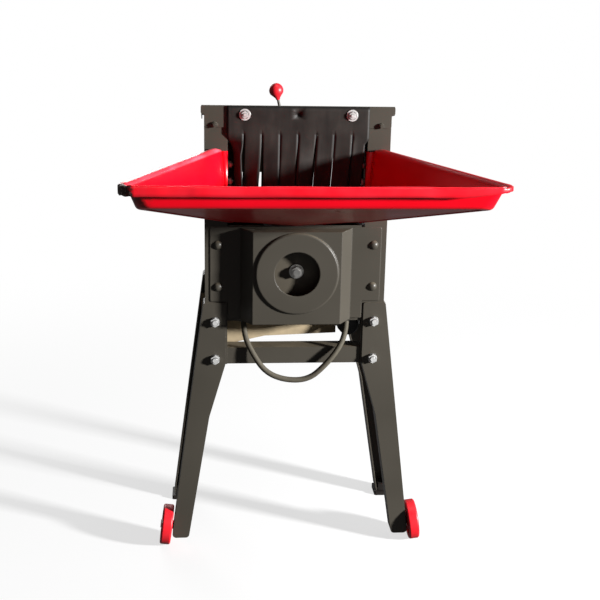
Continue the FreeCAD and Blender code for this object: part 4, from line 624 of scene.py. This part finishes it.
# Crumpled corners: waves along the rim lift the lip and draw it in; the right corner is flattened
from_corner = np.hypot(np.abs(sides[:, :, 0]) - rim_half, sides[:, :, 1] - rim_reach)
crumple = near(from_corner, crumple_reach) * on_lip * np.where(on_left, 1.0, right_crumple_share)
# Painted shade on the wall below the left corner, fading away from it
left_wall_shade = near(from_corner, left_wall_shade_reach) * on_wall * on_left
along_rim = np.arange(side_columns)[None, :]
folds = np.sin(long_wave * along_rim) + short_wave_share * np.sin(short_wave * along_rim + 1)
flattened = flattened_share * near(from_corner, flattened_reach) * on_edge * ~on_left
sides[:, :, 2] += flattened * (rim_height - sides[:, :, 2]) + crumple_rise * crumple * folds
outward = sides[:, :, :2] / np.linalg.norm(sides[:, :, :2], axis=2, keepdims=True)
sides[:, :, :2] -= outward * (crumple_fold * crumple * np.abs(folds))[:, :, None]
for dent_place, dent_half in dents:
    hollow = np.exp(-((sides[:, :, 0] - dent_place * mm) / (dent_half * mm)) ** 2)
    hollow *= sides[:, :, 1] < rim_reach + dent_strip
    sides[:, :, 1] += dent_depth * hollow * on_edge
    sides[:, :, 2] -= dent_fall_share * dent_depth * hollow * on_lip
sides[:, :, 2] -= root_drop * (np.abs(sides[:, :, 1] - tray_root) < root_reach) * on_lip

# Bed: straight lines from the right edge across to the left one, which sink in the middle, and
# more so towards the root
edge_points = side_steps + corner_steps
right_edge = sides[0, :edge_points]
left_edge = sides[0, ::-1][:edge_points]
front_x = sides[0, edge_points - 1:side_columns - edge_points + 1, 0]
across = (right_edge[-1, 0] - front_x) / (2 * right_edge[-1, 0])
bed_points = right_edge[:, None] + (left_edge - right_edge)[:, None] * across[None, :, None]
to_root = (bed_points[:, :1, 1] - bed_front) / (tray_root - bed_front)
bed_points[:, :, 2] -= bed_dish * (1 - np.abs(2 * across - 1)) ** bed_dish_power * to_root

# Tongues: flat ends of the walls that reach back between the posts
tongue_top = rim_height - tongue_top_drop
tongue_low = rim_height - bed_root_drop
tray_points = [sides.reshape(-1, 3), bed_points.reshape(-1, 3)]
point_count = sides.shape[0] * side_columns + bed_points.shape[0] * bed_points.shape[1]
bed_faces = grid_faces(*bed_points.shape[:2], sides.shape[0] * side_columns)[:, ::-1]
tray_faces = grid_faces(*sides.shape[:2]).tolist() + bed_faces.tolist()
for hand in (-1, 1):
    inside = hand * bed_root_half
    outside = hand * (wall_root_half - tongue_inset)
    tray_points.append(np.array([
        (outside, tray_root, tongue_top), (inside, tray_root, tongue_low),
        (inside, tray_root, tongue_top), (inside, tray_root + tongue_reach, tongue_low),
        (inside, tray_root + tongue_reach, tongue_top)]))
    tray_faces.append((point_count, point_count + 1, point_count + 2))
    tray_faces.append((point_count + 2, point_count + 1, point_count + 3, point_count + 4))
    point_count += len(tray_points[-1])

# Paint of the tray: red, hazy and dulled where dust lies, with a painted pink highlight along the
# rim, painted brown shade on the wall below the left corner, worn paint with painted shade and
# pale flecks of bare metal and painted glints on the crumpled corners, and paler streaks underneath
# that are stains and painted reflection
gloss_red = Paint("red_paint")
haze = gloss_red.noise(haze_size, 3.0)
peel = gloss_red.noise(peel_size, 2.0, seed=2.0)
mottle = gloss_red.noise(mottle_size, 4.0, seed=6.0)
# Worn paint and painted shade on the crumpled corners, strongest on the left, with pale flecks of
# bare metal and painted glints
worn_and_shaded = (gloss_red.painted("corner_wear_shade") * 1.5 + mottle).step(1.0, 1.25)
worn_glint_specks = worn_and_shaded * gloss_red.noise(glint_fleck_size, 3.0, seed=9.0).step(0.54, 0.66)
# Painted shade on the wall below the left corner, mottled
wall_shade = (gloss_red.painted("left_wall_shade") + 0.5 * mottle).step(0.45, 0.95)
# Painted pink highlight along the rim, in clouds
highlight_cloud = gloss_red.noise(highlight_size, 3.0, seed=15.0).step(0.35, 0.7)
rim_highlight = gloss_red.painted("rim") * (0.15 + 0.35 * highlight_cloud)
grime = gloss_red.upward().step(0.5, 1.0) * gloss_red.noise(grime_size, 5.0, seed=4.0)
# Paler streaks on the downward faces: stains and painted reflection
stain_and_reflection = gloss_red.noise(streak_size, 2.0, streak_stretch, seed=12.0).step(0.45, 0.7)
stain_and_reflection = 0.3 * (-gloss_red.upward()).step(0.3, 0.9) * stain_and_reflection
colour = gloss_red.mix(haze, red_deep, red_light)
colour = gloss_red.mix(0.12 * grime, colour, grime_brown)
colour = gloss_red.mix(rim_highlight, colour, highlight_pink)
colour = gloss_red.mix(wall_shade, colour, shade_brown)
colour = gloss_red.mix(worn_and_shaded, colour, worn_shade_brown)
colour = gloss_red.mix(stain_and_reflection, colour, underside_stain_reflection)
gloss_red.finish({
    "Base Color": gloss_red.mix(worn_glint_specks, colour, pale_glint_fleck),
    "Roughness": 0.22 + 0.16 * haze + 0.2 * worn_and_shaded,
    "Specular IOR Level": 0.4,
    "Normal": gloss_red.bump(peel, peel_depth, sheet_edge)})

tray = solid("feed_tray_sheet", np.concatenate(tray_points), tray_faces, gloss_red.material)
# Painted highlight along the rim: full along the left side, a small share along the front and right
beside = on_left * np.clip((sides[:, :, 1] - bed_front) / highlight_rise, 0, 1)
on_rim = risen(lip_row, 1) * (front_highlight_share + (1 - front_highlight_share) * beside)
# The corners' wear and painted shade, the left wall's painted shade and the rim's painted highlight
# are carried on the sheet's points
for attribute, share in (("corner_wear_shade", crumple), ("left_wall_shade", left_wall_shade), ("rim", on_rim)):
    amounts = np.zeros(point_count, np.float32)
    amounts[:share.size] = share.ravel()
    tray.data.attributes.new(attribute, "FLOAT", "POINT").data.foreach_set("value", amounts)
thickened(merged(tray), tray_sheet)
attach(tray, "frame")
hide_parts("feed_tray")


# Rubber curtain: a sheet of black insertion rubber, slit into strips and bolted to the lid's front
# flange; the strips have taken a set, so that each hangs turned and pushed aside by its own
# amount, the leftmost furthest
curtain_low, curtain_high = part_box("rubber_curtain")
rubber_thick = curtain_high.y - curtain_low.y
band_half = curtain_high.x
strip_half = 131.5 * mm
shoulder_low = 866.0 * mm
shoulder_high = 872.0 * mm
slit_top = 885.0 * mm
slit_count = 7
slit_pitch = 35.3 * mm
slit_width = 0.8 * mm
set_drop = 108.0 * mm
set_most = 1.3
set_power = 1.3
strip_steps = 8
band_rows = 6
strip_rows = 40
spare_hole = 3.0 * mm
spare_height = 921.0 * mm
spare_columns = 4
spare_rows = 3
# For each strip its shift to the right, its turn to the right in degrees and that turn's haste,
# its lean forward and its cup
strip_set = (
    (4.0, -62.0, 2.6, -6.0, 1.0), (-5.0, -30.0, 1.2, 1.0, 1.5), (-1.0, -12.0, 1.0, 0.0, -1.0),
    (-3.3, -6.0, 1.0, 2.0, 1.5), (-5.0, 20.0, 1.0, 2.5, -1.5), (-5.6, 8.0, 1.0, -1.5, 2.0),
    (-6.2, -10.0, 1.2, 1.0, 2.5), (-6.7, 9.0, 1.0, 0.0, 3.0))
rubber_black = ink(17, 15, 15)
rubber_bloom = ink(60, 55, 51)
# painted shade on the strips' cut edges
rubber_cut_shade = ink(14, 12, 12)
bloom_size = 45 * mm
smear_size = 18 * mm
smear_stretch = (1.0, 1.0, 0.2)
cut_reach = 1.2 * mm
rubber_skin_size = 3 * mm
rubber_skin_depth = 0.05 * mm

rubber = Paint("black_rubber")
bloom = rubber.noise(bloom_size, 4.0)
smear = rubber.noise(smear_size, 5.0, smear_stretch, seed=4.0)
rubber_tone = rubber.mix(bloom * smear * 1.6, rubber_black, rubber_bloom)
# The cut edges are painted darker than the face, as shade
rubber.finish({
    "Base Color": rubber.mix(rubber.edges(cut_reach).step(0.02, 0.3), rubber_tone, rubber_cut_shade),
    "Roughness": 0.42 + 0.2 * bloom,
    "Specular IOR Level": 0.25,
    "Normal": rubber.bump(rubber.noise(rubber_skin_size), rubber_skin_depth)})

# Strips on a grid of heights, strips and places u from -1 to 1 across each: its middle shifts and
# leans as (how far down) ^ set_power, it turns about that line and its section cups as u^2
heights = np.concatenate([
    np.linspace(curtain_high.z, slit_top, band_rows, endpoint=False),
    np.linspace(slit_top, curtain_low.z, strip_rows)])
curtain_y = (curtain_low.y + curtain_high.y) / 2
outer = np.interp(heights, [shoulder_low, shoulder_high], [strip_half, band_half])[:, None]
cuts = (np.arange(slit_count) - (slit_count - 1) / 2) * slit_pitch + 0 * outer
left_side = np.concatenate([-outer, cuts + slit_width / 2], 1)[:, :, None]
right_side = np.concatenate([cuts - slit_width / 2, outer], 1)[:, :, None]
shift, turn, haste, lean, cup = np.array(strip_set).T[:, None, :, None]
down = np.clip((slit_top - heights) / set_drop, 0, set_most)[:, None, None]
angle = np.radians(turn) * np.minimum(down * haste, 1)
u = np.linspace(-1, 1, strip_steps)
half = (right_side - left_side) / 2 * u
x = (left_side + right_side) / 2 + half * np.cos(angle) + shift * mm * down ** set_power
y = curtain_y + half * np.sin(angle) - (lean * down ** set_power + cup * (u * u - 0.5) * down) * mm
z = heights[:, None, None] + 0 * x
cloth = np.stack([x, y, z], 3).reshape(len(heights), -1, 3)
wide = cloth.shape[1]

# The cells of the slits are left out, and so is a block of them round the spare hole, whose brink
# is then joined to the block's edge
kept = np.ones((len(heights) - 1, wide - 1), bool)
kept[band_rows:, strip_steps - 1::strip_steps] = False
block = np.arange(wide // 2 - spare_columns, wide // 2 + spare_columns)
kept[:spare_rows, block[:-1]] = False
block_edge = np.concatenate([
    block, block[-1] + wide * np.arange(1, spare_rows + 1), block[-2::-1] + spare_rows * wide,
    block[0] + wide * np.arange(spare_rows - 1, 0, -1)])
spare_middle = np.array((0, curtain_y, spare_height))
spokes = cloth.reshape(-1, 3)[block_edge] - spare_middle
brink = spare_middle + spare_hole * spokes / np.linalg.norm(spokes, axis=1, keepdims=True)
k = np.arange(len(block_edge))
after = np.roll(k, -1)
brink_start = len(heights) * wide
collar = np.stack([block_edge, block_edge[after], brink_start + after, brink_start + k], 1)
curtain_faces = np.concatenate([grid_faces(len(heights), wide)[kept.ravel()], collar])
curtain_points = np.concatenate([cloth.reshape(-1, 3), brink])
curtain = solid("curtain", curtain_points, curtain_faces.tolist(), rubber.material)
thickened(curtain, rubber_thick, 0.0)
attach(curtain, "frame")
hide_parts("rubber_curtain")


# Rubber feet and belt: pads plugged into the ends of the rear legs, and the V-belt round the two
# pulleys, in the same black rubber as the curtain
coat(("rear_feet", "drive_belt"), rubber.material)


# Wheels and ball knob: moulded in red plastic; the wheels turn on bolts through the front legs,
# and the ball with its neck is moulded round the end of the gate's lever, square to its slope
knob_radius = 15.5 * mm
neck_drop = 20.5 * mm
neck_radius = 4.2 * mm
neck_edge = 0.6 * mm
neck_flare = ((4.0 * mm, 1.2 * mm), (8.0 * mm, 4.6 * mm))
ball_start = math.radians(118)
ball_rows = 20
lever_lean = 14.0 * mm
lever_rise = 64.5 * mm
plastic_deep = ink(214, 24, 38)
plastic_light = ink(240, 46, 56)
plastic_cloud_size = 24 * mm
plastic_skin_size = 2 * mm
plastic_skin_depth = 0.03 * mm
plastic_edge = 0.8 * mm

plastic = Paint("red_plastic")
cloud = plastic.noise(plastic_cloud_size, 3.0)
plastic.finish({
    "Base Color": plastic.mix(cloud, plastic_deep, plastic_light),
    "Roughness": 0.3 + 0.2 * cloud,
    "Normal": plastic.bump(plastic.noise(plastic_skin_size), plastic_skin_depth, plastic_edge)})
coat(("wheel_left", "wheel_right"), plastic.material)


def revolved(heights, radii, columns=48):
    """A closed surface turned about Z: (r cos a, r sin a, h) for each height h with its radius r
    and for angles a all round, with a single point at either end, where r is 0."""
    a = np.arange(columns) * 2 * math.pi / columns
    h = np.array(heights)[1:-1, None] + 0 * a
    r = np.array(radii)[1:-1, None]
    rings = np.stack([r * np.cos(a), r * np.sin(a), h], 2)
    points = np.concatenate([[(0, 0, heights[0])], rings.reshape(-1, 3), [(0, 0, heights[-1])]])
    k = np.arange(columns)
    after = np.roll(k, -1)
    start = 1 + columns * np.arange(len(rings) - 1)[:, None]
    bands = np.stack([start + k, start + after, start + columns + after, start + columns + k], 2)
    last = len(points) - 1
    low_fan = np.stack([0 * k, 1 + after, 1 + k], 1)
    high_fan = np.stack([last - columns + k, last - columns + after, last + 0 * k], 1)
    return points, low_fan.tolist() + bands.reshape(-1, 4).tolist() + high_fan.tolist()


ball_angles = np.linspace(ball_start, 0, ball_rows)
neck_heights = [0, 0, neck_edge] + [rise for rise, flare in neck_flare]
neck_radii = [0, neck_radius - neck_edge, neck_radius]
neck_radii += [neck_radius + flare for rise, flare in neck_flare]
knob_points, knob_faces = revolved(
    np.concatenate([np.array(neck_heights) - neck_drop, knob_radius * np.cos(ball_angles)]),
    np.concatenate([neck_radii, knob_radius * np.sin(ball_angles)]))
knob_low, knob_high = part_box("lever_knob")
knob_middle = (np.array(knob_low) + np.array(knob_high)) / 2
knob_middle[2] = knob_high.z - knob_radius
leaned = np.array(Matrix.Rotation(-math.atan2(lever_lean, lever_rise), 3, "Y"))
knob = solid("ball_knob", knob_points @ leaned.T + knob_middle, knob_faces, plastic.material)
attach(knob, "gate")
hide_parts("lever_knob")


# Zinc-plated steel: bolts, nuts and washers, the wheels' axles and the capacitor's strap, bright
# in the open, with painted shade in the corners between head and washer
zinc_dark = ink(196, 196, 194)
zinc_light = ink(244, 244, 242)
zinc_corner_shade = ink(48, 46, 44)
spangle_size = 3 * mm
spangle_depth = 0.02 * mm
corner_reach = 5 * mm
corner_samples = 8
zinc_edge = 0.5 * mm

zinc = Paint("zinc_plate")
spangle = zinc.noise(spangle_size, 3.0)
# Painted shade: darker where the surface is closed in, between head and washer
open_air = zinc.node(
    "ShaderNodeAmbientOcclusion", {"samples": corner_samples}, {"Distance": corner_reach}, "AO")
plated = zinc.mix(spangle, zinc_dark, zinc_light)
zinc.finish({
    "Base Color": zinc.mix(open_air.step(0.45, 0.95), zinc_corner_shade, plated),
    "Metallic": 0.5,
    "Roughness": 0.26 + 0.2 * spangle,
    "Normal": zinc.bump(spangle, spangle_depth, zinc_edge)})
coat(
    ("leg_bolts", "curtain_bolts", "tray_bolts", "motor_bolts", "wheel_axles", "capacitor_clip"),
    zinc.material)


# Black plastic: the motor's terminal box with its rocker, the capacitor's can and the cable's
# glands, moulded with a fine dull skin
moulded_dark = ink(24, 24, 26)
moulded_light = ink(44, 44, 46)
moulded_cloud_size = 15 * mm
moulded_gloss_size = 10 * mm
moulded_skin_size = 1 * mm
moulded_skin_depth = 0.03 * mm
moulded_edge = 0.8 * mm

moulded = Paint("black_plastic")
moulded.finish({
    "Base Color": moulded.mix(moulded.noise(moulded_cloud_size), moulded_dark, moulded_light),
    "Roughness": 0.36 + 0.2 * moulded.noise(moulded_gloss_size),
    "Normal": moulded.bump(moulded.noise(moulded_skin_size), moulded_skin_depth, moulded_edge)})
coat(("terminal_box", "capacitor", "cable_glands"), moulded.material)
coat(("rocker_switch",), moulded.material)


# Hanging cable: a flex from one gland to the other, slack enough to hang in a loop before the
# cross member, its rubber sheath dulled by the body's paint
cable_diameter = 11.5 * mm
cable_route = (
    (-103.5, 14.0, 499.5), (-102.5, 6.0, 472.0), (-87.0, -10.0, 440.0), (-60.0, -19.0, 400.0),
    (-17.0, -20.0, 382.5), (30.0, -19.0, 384.0), (63.0, -18.0, 414.0), (90.0, -11.0, 446.0),
    (105.5, 4.0, 475.0), (107.5, 14.0, 499.5))
sheath_dark = ink(70, 66, 57)
sheath_light = ink(90, 85, 74)
lump_size = 4 * mm
lump_depth = 0.08 * mm

sheath = Paint("cable_sheath")
lumps = sheath.noise(lump_size, 3.0)
sheath.finish({
    "Base Color": sheath.mix(lumps, sheath_dark, sheath_light),
    "Roughness": 0.6 + 0.2 * lumps,
    "Specular IOR Level": 0.25,
    "Normal": sheath.bump(lumps, lump_depth)})

line = bpy.data.curves.new("cable", "CURVE")
line.dimensions = "3D"
line.bevel_depth = cable_diameter / 2
line.bevel_resolution = 8
line.resolution_u = 16
line.use_fill_caps = True
route = np.array(cable_route) * mm + (0, post_face, 0)
run = line.splines.new("NURBS")
run.points.add(len(route) - 1)
run.points.foreach_set("co", np.column_stack([route, np.ones(len(route))]).ravel())
run.order_u = 3
run.use_endpoint_u = True
line.materials.append(sheath.material)
cable = bpy.data.objects.new("cable", line)
bpy.context.scene.collection.objects.link(cable)
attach(cable, "frame")
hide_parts("cable_loop")
